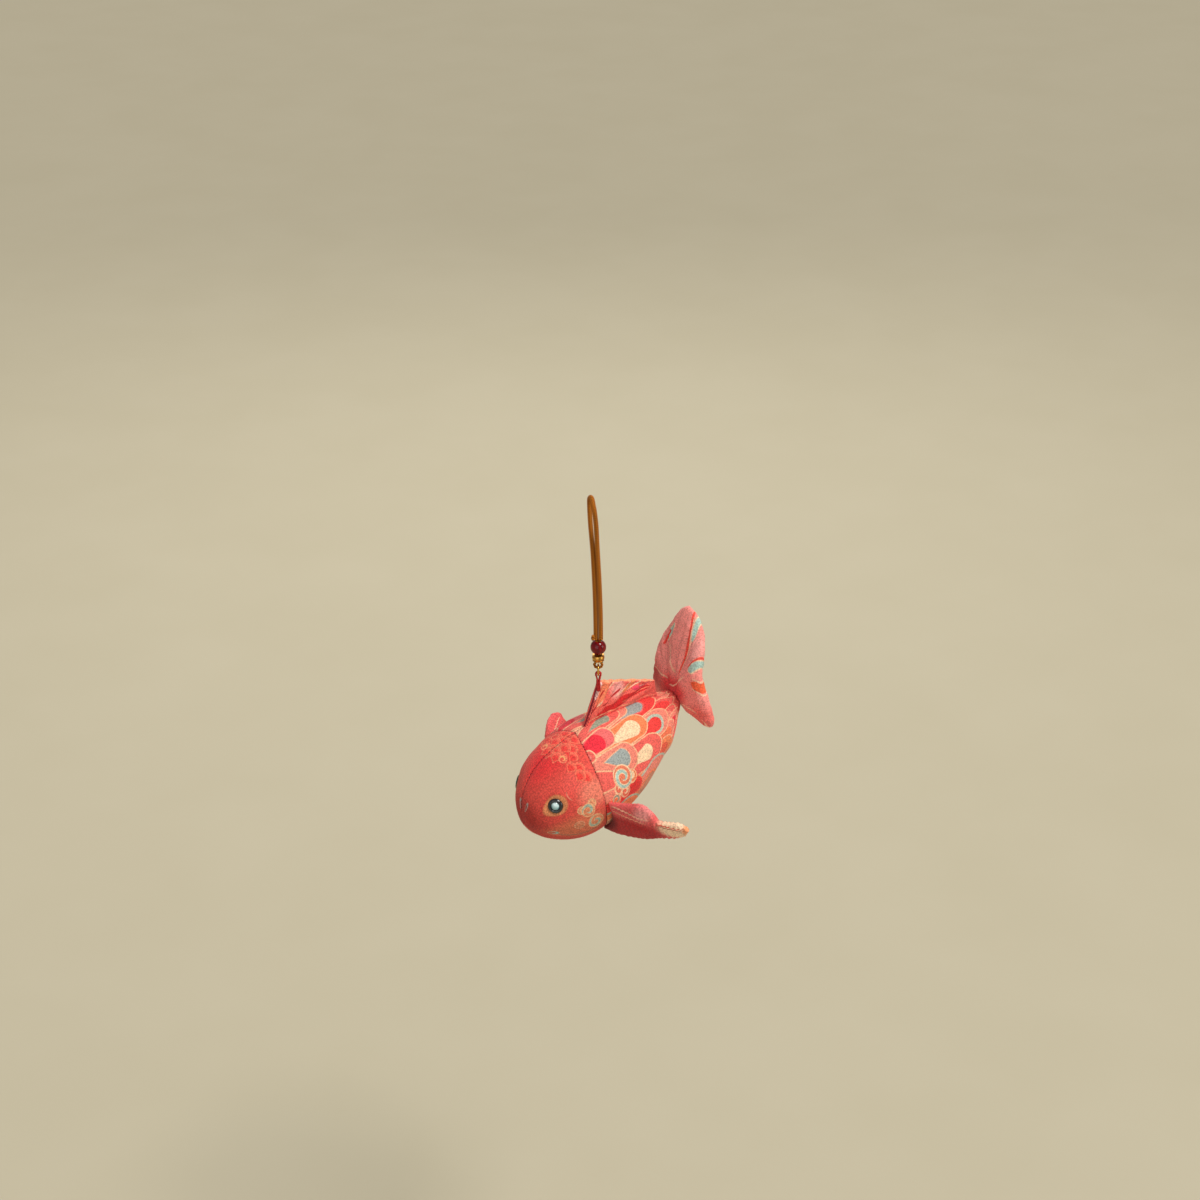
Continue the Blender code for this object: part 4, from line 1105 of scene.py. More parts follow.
@dataclass
class BeadDrop:
    """The agate bead, the gold spacer, the small cord eye, the jump ring and the sewing thread."""

    bead: float = 3.0 * MM
    bore: float = 1.3 * MM
    spacer: float = 2.35 * MM
    spacer_height: float = 2.6 * MM
    eye_cord: float = 0.55 * MM
    eye_half_width: float = 1.45 * MM
    ring: float = 2.05 * MM
    wire: float = 0.40 * MM
    thread: float = 0.34 * MM
    thread_spread: float = 0.52 * MM
    thread_forward: float = 1.5 * MM
    thread_drop: float = 5.4 * MM
    gap: float = 0.10 * MM

    def middle(self, node: str) -> Vector:
        """The middle of a CAD node's box."""
        low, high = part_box(node)
        return (low + high) / 2.0

    @staticmethod
    def bight(side: Sequence[tuple[float, float]], reach: float, height: float,
              way: float) -> list[tuple[float, float]]:
        """An outline down one side, round half a circle and back up the other side.

        Args:
            side: Points of the first side, across and up.
            reach: The half circle's radius.
            height: Its centre's height.
            way: 1 where it bulges upwards, -1 where it hangs.

        Returns:
            The outline's points.
        """
        turns = [math.pi * i / 8.0 for i in range(9)]
        arc = [(reach * math.cos(turn), height + way * reach * math.sin(turn)) for turn in turns]
        return [*side, *arc, *((-x, z) for x, z in reversed(side))]

    def build_bead(self) -> None:
        """The polished bead, with a softened edge round its bore."""
        half = math.asin(self.bore / self.bead)
        count = 30
        arc = [math.pi / 2.0 - half - (math.pi - 2.0 * half) * i / count for i in range(count + 1)]
        profile = [(self.bead * math.cos(a), self.bead * math.sin(a)) for a in arc]
        place = Matrix.Translation(self.middle("agate_bead"))
        bead = turned("polished_bead", profile, place, 64)
        mount(dress(bead, PolishedAgate("polished agate").make()), "agate_bead", "agate", "agate_bead")

    def build_spacer(self, gold: bpy.types.Material) -> None:
        """The barrel spacer with a flared rim at each end and a groove below each."""
        half, rim = self.spacer_height / 2.0, self.spacer
        upper = (
            (self.bore, half), (rim * 0.86, half), (rim * 0.94, half * 0.93),
            (rim * 0.93, half * 0.80), (rim * 0.84, half * 0.70), (rim * 0.87, half * 0.60),
            (rim * 0.95, half * 0.40), (rim, half * 0.14),
        )
        profile = [*upper, *((radius, -height) for radius, height in reversed(upper))]
        spacer = turned("gold_barrel", profile, Matrix.Translation(self.middle("gold_spacer")), 64)
        spacer.data.set_sharp_from_angle(angle=math.radians(50.0))
        mount(dress(spacer, gold), "gold_spacer", "gold", "gold_spacer")

    def build_eye(self, cord: bpy.types.Material) -> None:
        """The thin cord through both beads, ending in an open eye."""
        low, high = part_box("cord_eye")
        foot = low.z + self.eye_cord
        bend = foot + self.eye_half_width
        leg = self.eye_cord + self.gap / 2.0
        top, neck = high.z, self.middle("gold_spacer").z - self.spacer_height / 2.0
        side = [
            (leg, top), (leg, (top + neck) / 2.0), (leg, neck),
            ((leg + self.eye_half_width) / 2.0, (neck + bend) / 2.0),
        ]
        outline = self.bight(side, self.eye_half_width, bend, -1.0)
        path = smooth_curve([HANG_LINE + ACROSS * x + UP * z for x, z in outline], 180)
        twist = lambda run, turn: self.eye_cord * (0.90 + 0.10 * math.sin(2.0 * turn - run / MM * 5.0))
        mount(dress(tube("cord_eyelet", path, twist, 18), cord), "cord_foot", "cord", "cord_eye")

    def build_ring(self, gold: bpy.types.Material) -> None:
        """The jump ring of round wire."""
        centre = self.middle("jump_ring")
        count = 64
        path = [
            centre + (FORWARD * math.cos(turn) + UP * math.sin(turn)) * self.ring
            for turn in (2.0 * math.pi * i / count for i in range(count))
        ]
        ring = tube("wire_ring", path, lambda run, turn: self.wire, 16, closed=True)
        mount(dress(ring, gold), "jump_ring", "gold", "jump_ring")

    def build_thread(self) -> None:
        """The red sewing thread: three loops over the ring's foot, laid over the fin's near face."""
        ring_foot = self.middle("jump_ring").z - self.ring
        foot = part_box("thread_loop")[0].z - 0.6 * MM
        half = self.wire + 2.0 * self.gap + self.thread
        meet = self.thread + self.gap / 4.0
        side = [
            (meet, foot), (meet, foot + self.thread_drop / 3.0),
            (meet * 1.05, ring_foot - self.thread_drop * 0.42),
            ((half + meet) / 2.0, ring_foot - self.thread_drop * 0.18),
        ]
        outline = self.bight(side, half, ring_foot, 1.0)
        plies = lambda run, turn: self.thread * (0.88 + 0.12 * math.cos(2.0 * turn - run / MM * 4.2))
        material = SpunThread("red thread", (0.20, 0.004, 0.006), (0.66, 0.035, 0.030)).make()
        for number in (0, -1, 1):
            knots = []
            for x, z in outline:
                fall = min(max((ring_foot - z) / (ring_foot - foot), 0.0), 1.0)
                aside = x + number * 0.30 * MM * fall
                ahead = number * self.thread_spread * (1.0 - 0.4 * fall) + self.thread_forward * fall
                knots.append(HANG_LINE + UP * z + ACROSS * aside + FORWARD * ahead)
            thread = tube(f"thread_loop_twist_{number + 2}", smooth_curve(knots, 200), plies, 18)
            mount(dress(thread, material), "fish", "thread", *(() if number else ("thread_loop",)))

    def build(self) -> None:
        """Make every piece between the cord and the fish."""
        gold = PlatedGold("plated gold").make()
        self.build_bead()
        self.build_spacer(gold)
        self.build_eye(BraidedCord("thin cord", columns=4, pitch=0.9).make())
        self.build_ring(gold)
        self.build_thread()


# --- The fish ------------------------------------------------------------------------------------


@dataclass
class Hull:
    """The padded body's outer surface in the fish's own space, and where the fish hangs."""

    length: float = 78.0 * MM
    height_radius: float = 21.0 * MM
    width_ratio: float = 0.95
    # Share of the length, and share of the greatest radius
    outline: tuple[tuple[float, float], ...] = (
        (0.000, 0.000), (0.006, 0.155), (0.030, 0.345), (0.065, 0.530), (0.117, 0.710),
        (0.180, 0.856), (0.255, 0.948), (0.360, 1.000), (0.487, 0.990), (0.602, 0.905),
        (0.718, 0.770), (0.785, 0.682), (0.846, 0.610), (0.913, 0.445), (0.960, 0.306), (1.000, 0.219),
    )
    # How the cloth tucks in behind the body's end, in metres
    tuck: tuple[tuple[float, float], ...] = (
        (0.0006, 0.0043), (0.0011, 0.0036), (0.0014, 0.0026), (0.00155, 0.0016), (0.00160, 0.0005),
    )
    samples: int = 241
    tail_lift: float = 2.0 * MM
    lift_start: float = 0.74
    collar_at_crown: float = 34.0 * MM
    collar_at_belly: float = 25.0 * MM
    collar_turn: float = math.radians(110.0)
    crown_skew: float = math.radians(12.0)
    belly_half_angle: float = math.radians(24.0)
    pitch: float = math.radians(20.0)
    fin_tip: tuple[float, float] = (49.9 * MM, 31.6 * MM)
    cloth_gap: float = 0.30 * MM
    stations: list[float] = field(init=False)
    radii: list[float] = field(init=False)
    space: Matrix = field(init=False)

    def __post_init__(self) -> None:
        """Sample the outline and find where the fish hangs from its thread."""
        curve = smooth_curve([Vector((x, y, 0.0)) for x, y in self.outline], self.samples)
        self.stations = [p.x * self.length for p in curve] + [self.length + s for s, _ in self.tuck]
        self.radii = [p.y * self.height_radius for p in curve] + [r for _, r in self.tuck]
        hung = HANG_LINE + UP * (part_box("thread_loop")[0].z - self.cloth_gap)
        self.space = (
            Matrix.Translation(hung) @ Matrix.Rotation(-self.pitch, 4, "Y")
            @ Matrix.Translation((-self.fin_tip[0], 0.0, -self.fin_tip[1]))
        )

    def radius(self, station: float) -> tuple[float, float, float]:
        """Radius and outward normal of the side outline at a distance from the nose."""
        index = min(max(bisect.bisect_right(self.stations, station) - 1, 0), len(self.stations) - 2)
        left, right = self.stations[index], self.stations[index + 1]
        low, high = self.radii[index], self.radii[index + 1]
        length = math.hypot(low - high, right - left)
        found = low + (high - low) * (station - left) / (right - left)
        return found, (low - high) / length, (right - left) / length

    def station_of(self, radius: float) -> float:
        """First distance from the nose at which the body has a radius."""
        return next(s for s, found in zip(self.stations, self.radii) if found >= radius)

    def middle_height(self, station: float) -> float:
        """How far the body's middle lies above its axis."""
        rise = min(max(station / self.length - self.lift_start, 0.0) / (1.0 - self.lift_start), 1.1)
        return self.tail_lift * rise ** 2

    def point(self, station: float, angle: float, inset: float = 0.0) -> Vector:
        """A point of the body, in the fish's own space, at an angle from the back to its left."""
        radius, back, out = self.radius(station)
        return Vector((
            station - inset * back,
            -math.sin(angle) * (radius * self.width_ratio - inset * out),
            self.middle_height(station) + math.cos(angle) * (radius - inset * out),
        ))

    def collar(self, angle: float) -> float:
        """Where the collar seam lies; it slants forwards from the crown to the belly."""
        share = max(1.0 - abs(angle) / self.collar_turn, 0.0)
        return self.collar_at_belly + (self.collar_at_crown - self.collar_at_belly) * share ** 1.3

    def drift(self, station: float, angle: float) -> float:
        """How far round the crown seam has pulled the cloth."""
        ahead = max(1.0 - station / self.collar_at_crown, 0.0)
        return -self.crown_skew * ahead * max(1.0 - abs(angle) / (math.pi - self.belly_half_angle), 0.0)

    def hang(self, point: Vector) -> Vector:
        """A point of the fish's own space in the part's frame."""
        return self.space @ point


@dataclass
class PaddedBody:
    """The head, body and belly panels, stuffed tight and drawn in along their seams."""

    hull: Hull
    cloth: float = 0.60 * MM
    seam_gap: float = 0.02 * MM
    seam_depth: float = 0.30 * MM
    seam_width: float = 0.70 * MM
    dimple: float = 1.00 * MM
    dimple_width: float = 3.5 * MM
    pucker: float = 0.13 * MM
    pucker_pitch: float = 2.3 * MM
    pucker_fade: float = 2.0 * MM
    lump: float = 0.42 * MM
    lump_size: float = 15.0 * MM
    crumple: float = 0.10 * MM
    crumple_size: float = 4.0 * MM
    tail_gather: float = 0.38 * MM
    gathers: float = 13.0
    # Faces along and round each panel
    head_grid: tuple[int, int] = (74, 92)
    body_grid: tuple[int, int] = (110, 110)
    belly_grid: tuple[int, int] = (150, 30)

    def inset(self, station: float, angle: float, edges: Sequence[float]) -> float:
        """How far the cloth lies under the plain hull.

        Args:
            station: Distance from the nose.
            angle: Angle round the body.
            edges: Distance to the front, rear, upper and lower seams.

        Returns:
            The depth; negative where the stuffing swells.
        """
        radius = self.hull.radius(station)[0]
        nearest = min(edges)
        run = angle * radius if nearest in edges[:2] else station
        depth = self.seam_depth * bell(nearest, self.seam_width)
        ripple = 0.5 + 0.5 * math.sin(2.0 * math.pi * run / self.pucker_pitch)
        depth += self.pucker * ripple * math.exp(-nearest / self.pucker_fade)
        spot = self.hull.point(station, angle)
        depth += self.lump * noise.noise(spot / self.lump_size)
        depth += self.crumple * noise.noise(spot / self.crumple_size)
        eye_angle = FishEye.angle if angle > 0.0 else -FishEye.angle - FishEye.far_turn
        eye = self.hull.point(FishEye.station, eye_angle)
        depth += self.dimple * math.exp(-((spot - eye).length / self.dimple_width) ** 4)
        gather = max(station / self.hull.length - 0.80, 0.0) / 0.20
        pleats = math.sin(angle * self.gathers + 1.5 * math.sin(3.0 * angle))
        depth += self.tail_gather * min(gather, 1.0) * pleats
        return depth * hump(radius / (6.0 * MM), 1.0, 1.0)

    def panel(self, name: str, start_of: Callable[[float], float], end_of: Callable[[float], float],
              low: float, high: float, rows: int, columns: int, mirror: bool) -> bpy.types.Object:
        """One panel between two stations and two angles.

        Args:
            name: The piece's name.
            start_of: Its front edge at an angle.
            end_of: Its rear edge at an angle.
            low: Its first angle.
            high: Its last angle.
            rows: Faces along it.
            columns: Faces round it.
            mirror: Whether its print is mirrored.

        Returns:
            The panel, a cloth's thickness deep.
        """
        points, prints = [], []
        for i in range(rows + 1):
            for j in range(columns + 1):
                angle = low + (high - low) * j / columns
                start, end = start_of(angle) + self.seam_gap, end_of(angle) - self.seam_gap
                share = (i / rows) ** (1.0 + 1.1 * math.exp(-start / (4.0 * MM)))
                station = start + (end - start) * share
                radius = max(self.hull.radius(station)[0], 0.3 * MM)
                trim = min(self.seam_gap / radius, (high - low) * 0.2)
                turn = low + trim + (high - low - 2.0 * trim) * j / columns
                edges = (station - start, end - station, (turn - low) * radius, (high - turn) * radius)
                turn += self.hull.drift(station, turn)
                depth = self.inset(station, turn, edges)
                points.append(self.hull.hang(self.hull.point(station, turn, depth)))
                prints.append((station / MM, math.degrees(-turn if mirror else turn) * DEGREE_ON_PRINT))
        wide = columns + 1
        faces = [
            (i * wide + j, i * wide + j + 1, (i + 1) * wide + j + 1, (i + 1) * wide + j)
            for i in range(rows) for j in range(columns)
        ]
        obj = add_object(name, points, faces, prints)
        solid = obj.modifiers.new("cloth", "SOLIDIFY")
        solid.thickness = self.cloth
        solid.offset = -1.0
        solid.use_quality_normals = True
        return obj

    def build(self) -> None:
        """Make the five panels."""
        hull = self.hull
        nose = hull.station_of(0.30 * MM)
        end = hull.stations[-1]
        seam = math.pi - hull.belly_half_angle
        head, body, belly = (kind.make() for kind in (ClothKind.HEAD, ClothKind.BODY, ClothKind.BELLY))
        panels = (
            ("head", head, lambda _: nose, hull.collar, self.head_grid),
            ("body", body, hull.collar, lambda _: end, self.body_grid),
        )
        for side in Side:
            low, high = (0.0, seam) if side is Side.LEFT else (-seam, 0.0)
            for part, cloth, front, rear, grid in panels:
                piece = self.panel(
                    f"{part}_panel_{side.value}", front, rear, low, high, *grid, side is Side.RIGHT)
                mount(dress(piece, cloth), "fish", f"{part}_brocade", f"{part}_cover_{side.value}")
        piece = self.panel(
            "belly_panel", lambda _: nose, lambda _: end, seam, 2.0 * math.pi - seam, *self.belly_grid, False)
        mount(dress(piece, belly), "fish", "belly_brocade", "belly_strip")


@dataclass
class FishEye:
    """A black moulded ring on its shank, with a pearly centre; the crown seam draws the right one lower."""

    hull: Hull
    side: Side
    station: float = 9.7 * MM
    angle: float = math.radians(55.5)
    ring: float = 2.95 * MM
    height: float = 1.10 * MM
    pearl: float = 1.60 * MM
    shank: float = 0.80 * MM
    shank_length: float = 3.2 * MM
    base: float = -0.80 * MM
    far_turn: float = math.radians(8.0)
    gap: float = 0.15 * MM

    def place(self) -> Matrix:
        """Where the eye's axis stands, pointing out of the head."""
        angle = self.angle if self.side is Side.LEFT else -self.angle - self.far_turn
        spot = self.hull.point(self.station, angle)
        out = (spot - self.hull.point(self.station, angle, MM)).normalized()
        return self.hull.space @ Matrix.Translation(spot) @ out.to_track_quat("Z", "Y").to_matrix().to_4x4()

    def build(self, black: bpy.types.Material, pearly: bpy.types.Material) -> None:
        """Make the ring and the pearl."""
        seat = self.base + self.height * 0.25
        recess = self.pearl + self.gap
        crown = self.base + self.height
        dome = rounded((
            (recess, crown - self.height * 0.18), (recess + 0.16 * MM, crown - self.height * 0.04),
            ((recess + self.ring) / 2.0 - 0.1 * MM, crown),
            (self.ring - 0.22 * MM, crown - self.height * 0.30),
            (self.ring, self.base + self.height * 0.25), (self.ring - 0.12 * MM, self.base),
        ), 30)
        profile = [
            (0.0, seat), (recess, seat), *dome, (self.shank, self.base),
            (self.shank, -self.shank_length), (0.0, -self.shank_length),
        ]
        place, side = self.place(), self.side.value
        ring = turned(f"eye_{side}_ring", profile, place, 56)
        ring.data.set_sharp_from_angle(angle=math.radians(55.0))
        mount(dress(ring, black), "fish", "eye_black", f"eye_ring_{side}")
        foot = seat + self.gap
        top = self.pearl * 0.62
        tilts = [math.pi / 2.0 * i / 18.0 for i in range(19)]
        dome = [(self.pearl * math.sin(tilt), foot + top * math.cos(tilt)) for tilt in tilts]
        pearl = turned(f"eye_{side}_pearl", [*dome, (0.0, foot)], place, 56)
        mount(dress(pearl, pearly), "fish", "eye_pearl", f"eye_pearl_{side}")


@dataclass
class BackFin:
    """The gathered sail that carries the fish: two cloths, rolled together along the front and top."""

    hull: Hull
    base: tuple[float, float] = (37.5 * MM, 72.5 * MM)
    rear: tuple[float, float] = (71.6 * MM, 15.3 * MM)
    rows: int = 110
    columns: int = 44
    cloth: float = 0.62 * MM
    belly: float = 0.45 * MM
    hem: float = 0.42 * MM
    fold: float = 0.36 * MM
    fold_count: float = 15.0
    heart: tuple[float, float] = (39.5 * MM, 17.0 * MM)
    sink: float = 0.45 * MM
    tip_lift: tuple[float, float] = (0.8 * MM, 3.5 * MM)
    rear_lift: tuple[float, float] = (2.0 * MM, 1.4 * MM)
    # How far down from the tip its stitches start, as a share of the front edge
    seam_start: float = 0.14

    @property
    def tip(self) -> Vector:
        """Where the fin's tip stands: along the fish, and up."""
        return Vector((*self.hull.fin_tip, 0.0)) + Vector((*self.tip_lift, 0.0))

    def build(self) -> None:
        """Make the fin."""
        rear = Vector((*self.rear, 0.0)) + Vector((*self.rear_lift, 0.0))
        rows, prints = [], []
        for i in range(self.rows + 1):
            share = i / self.rows
            station = self.base[0] + (self.base[1] - self.base[0]) * share
            base = Vector((station, self.hull.point(station, 0.0).z - self.sink, 0.0))
            top = self.tip.lerp(rear, share)
            top.y += 0.5 * MM * math.sin(math.pi * share) + 0.06 * MM * math.sin(share * 61.0)
            row, line = [], []
            for j in range(self.columns + 1):
                rise = j / self.columns
                spot = base.lerp(top, rise)
                ray = math.atan2(spot.y - self.heart[1], spot.x - self.heart[0])
                reach = math.hypot(spot.y - self.heart[1], spot.x - self.heart[0]) / (18.0 * MM)
                free = hump(rise, 0.35, 1.0) * hump(share, 0.10, 1.0) * hump(1.0 - share, 0.10, 1.0)
                wave = math.sin(ray * self.fold_count * 2.0 + 0.8 * math.sin(ray * 9.0))
                swing = self.fold * wave * min(reach, 1.0) * free
                row.append(self.hull.hang(Vector((spot.x, swing, spot.y))))
                line.append((share * 34.0, rise * 16.0))
            rows.append(row)
            prints.append(line)

        def thickness(i: int, j: int) -> float:
            """Half the fin's thickness: two cloths, a little air, and a rolled hem."""
            share, rise = i / self.rows, j / self.columns
            edge = min(hump(share, 0.04, 0.5), hump(1.0 - share, 0.03, 0.5), hump(1.0 - rise, 0.07, 0.5))
            top_roll = bell((rise - 0.95) * 18.0 * MM, 0.8 * MM)
            roll = self.hem * (top_roll + bell((share - 0.03) * 34.0 * MM, 0.9 * MM))
            air = self.belly * math.sin(math.pi * share) * (1.0 - rise) * rise * 4.0
            return (self.cloth + air + roll) * edge

        fin = pad_object("back_fin_sail", rows, thickness, prints)
        mount(dress(fin, ClothKind.BACK_FIN.make()), "fish", "fin_brocade", "back_fin_left", "back_fin_right")

    def seam_path(self, inward: float) -> list[Vector]:
        """Points along the front edge, from just under the tip down to the crown."""
        foot = Vector((self.base[0], self.hull.point(self.base[0], 0.0).z, 0.0))
        proud = -self.cloth - self.hem - 0.05 * MM
        below = self.seam_start
        spots = [self.tip.lerp(foot, below + (1.0 - below) * index / 12.0) for index in range(13)]
        return [self.hull.hang(Vector((spot.x + inward, proud, spot.y))) for spot in spots]


# The far side fin's upper edge: one round lobe, which is all of it that shows
FAR_FIN_UPPER = (
    (0.0, 8.0), (6.0, 7.8), (12.0, 7.8), (17.0, 8.6), (22.0, 8.6),
    (26.0, 7.6), (30.0, 5.8), (33.5, 3.2), (35.0, 0.6),
)


@dataclass
class SideFin:
    """A stuffed mitten-shaped fin on the collar seam, puckered where its tip is sewn."""

    hull: Hull
    side: Side
    kind: ClothKind
    upper: tuple[tuple[float, float], ...] = (
        (0.0, 9.2), (6.0, 9.4), (12.0, 10.2), (16.0, 11.2), (18.6, 11.0), (20.3, 9.4), (21.2, 6.4),
        (21.9, 2.6), (23.0, 1.6), (26.0, 1.8), (31.0, 2.6), (34.0, 1.9), (35.0, 0.5),
    )
    lower: tuple[tuple[float, float], ...] = (
        (0.0, -10.4), (5.0, -12.4), (14.0, -11.9), (26.0, -7.9), (32.5, -4.6), (35.0, -1.4),
    )
    length: float = 35.0 * MM
    pad: float = 3.0 * MM
    root_gap: float = 0.10 * MM
    seat: float = 9.4 * MM
    search: float = 8.0 * MM
    root_angles: tuple[float, float] = (math.radians(89.0), math.radians(146.0))
    root_back: float = 1.0 * MM
    rows: int = 104
    columns: int = 48
    tuck_pitch: float = 1.9 * MM
    tuck: float = 0.10
    tip_tuck: float = 0.26
    waist: float = 0.52
    swell: float = 0.14
    seam: float = 0.30 * MM
    root_pad: float = 0.9 * MM
    bend_length: float = 5.0 * MM

    def axes(self) -> tuple[Vector, Vector, Vector]:
        """The fin's origin at the middle of its root, its reach and its across direction."""
        sweep = Vector((15.0, -32.0, -2.0)) if self.side is Side.LEFT else Vector((24.0, 27.0, 3.0))
        first, last = (
            self.hull.point(self.hull.collar(angle) + self.root_back, self.side.sign * angle)
            for angle in self.root_angles
        )
        reach = sweep.normalized()
        across = first - last
        across = (across - reach * across.dot(reach)).normalized()
        return (first + last) / 2.0, reach, across

    def root_offset(self, offset: float) -> float:
        """How far along the fin's plane the body's surface lies from the root's chord."""
        origin, reach, across = self.axes()
        held = max(min(offset, self.seat), -self.seat)
        within, beyond = -self.search, self.search
        for _ in range(24):
            middle = (within + beyond) / 2.0
            spot = origin + across * held + reach * middle
            section = math.hypot(spot.y / self.hull.width_ratio, spot.z - self.hull.middle_height(spot.x))
            if section < self.hull.radius(spot.x)[0]:
                within = middle
            else:
                beyond = middle
        return beyond

    @staticmethod
    def edge(table: Sequence[tuple[float, float]], place: float) -> float:
        """Read an edge table smoothly."""
        for (left, low), (right, high) in zip(table, table[1:]):
            if place <= right:
                share = (place - left) / (right - left)
                eased = share * share * (3.0 - 2.0 * share)
                return low + (high - low) * eased * 0.5 + (high - low) * share * 0.5
        return table[-1][1]

    def build(self) -> None:
        """Make the fin."""
        origin, reach, across = self.axes()
        bottom, top = self.lower[0][1] * MM, self.upper[0][1] * MM
        roots = [self.root_offset(bottom * 1.2 + (top - bottom) * 1.2 * k / 24.0) for k in range(25)]
        rows, prints = [], []
        for i in range(self.rows + 1):
            share = i / self.rows
            x = self.length * share
            low, high = self.edge(self.lower, x / MM) * MM, self.edge(self.upper, x / MM) * MM
            middle, half = (low + high) / 2.0, (high - low) / 2.0
            past = max(x - 31.0 * MM, 0.0) / (4.0 * MM)
            half *= math.sqrt(max(1.0 - past ** 2.4, 0.02))
            row, line = [], []
            for j in range(self.columns + 1):
                offset = middle + half * (2.0 * j / self.columns - 1.0)
                slot = min(max((offset - bottom * 1.2) / ((top - bottom) * 1.2) * 24.0, 0.0), 23.999)
                before, after = roots[int(slot)], roots[int(slot) + 1]
                root = before + (after - before) * (slot % 1.0) + self.root_gap
                row.append(origin + reach * (x + root * (1.0 - share) ** 3) + across * offset)
                line.append((x / MM, offset / MM))
            rows.append(row)
            prints.append(line)
        lifts = self.wrinkle(rows)
        rows = [[self.hull.hang(spot) for spot in row] for row in rows]
        fin = pad_object(f"{self.side.value}_side_fin", rows, lambda i, j: lifts[i][j], prints)
        dress(fin, self.kind.make())
        side = self.side.value
        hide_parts(f"{side}_fin_cover_front", f"{side}_fin_cover_back")
        start = self.hull.hang(origin - reach * 1.0 * MM)
        end = self.hull.hang(origin + reach * self.bend_length)
        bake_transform(fin)
        LOG.info("%s: %d faces, blended from fish to %s_fin", fin.name, len(fin.data.polygons), side)

    def wrinkle(self, rows: Grid) -> list[list[float]]:
        """Half the stuffed thickness at each point, puckered towards the seams."""
        lifts = []
        for i in range(self.rows + 1):
            share = i / self.rows
            x = self.length * share
            line = []
            for j in range(self.columns + 1):
                side = 2.0 * j / self.columns - 1.0
                along = hump(share, 0.22, 0.7) * (1.0 - self.waist * hump(share - 0.48, 0.14, 1.0))
                along *= hump(1.0 - share, 0.10, 0.5)
                dome = max(1.0 - side ** 2, 0.0) ** 0.55
                waver = 1.2 * side + 4.0 * noise.noise(rows[i][j] / (5.0 * MM))
                tuck = math.sin(2.0 * math.pi * x / self.tuck_pitch + waver)
                near_tip = hump(share - 0.55, 0.10, 1.0)
                crease = 1.0 + (self.tuck + self.tip_tuck * near_tip) * tuck * (0.25 + side ** 2)
                swell = 1.0 + self.swell * noise.noise(rows[i][j] / (7.0 * MM))
                seam = self.seam * hump(1.0 - abs(side), 0.05, 0.5)
                root = self.root_pad * bell(x, 4.0 * MM) * dome
                line.append(self.pad * along * dome * crease * swell + seam + root)
            lifts.append(line)
        return lifts


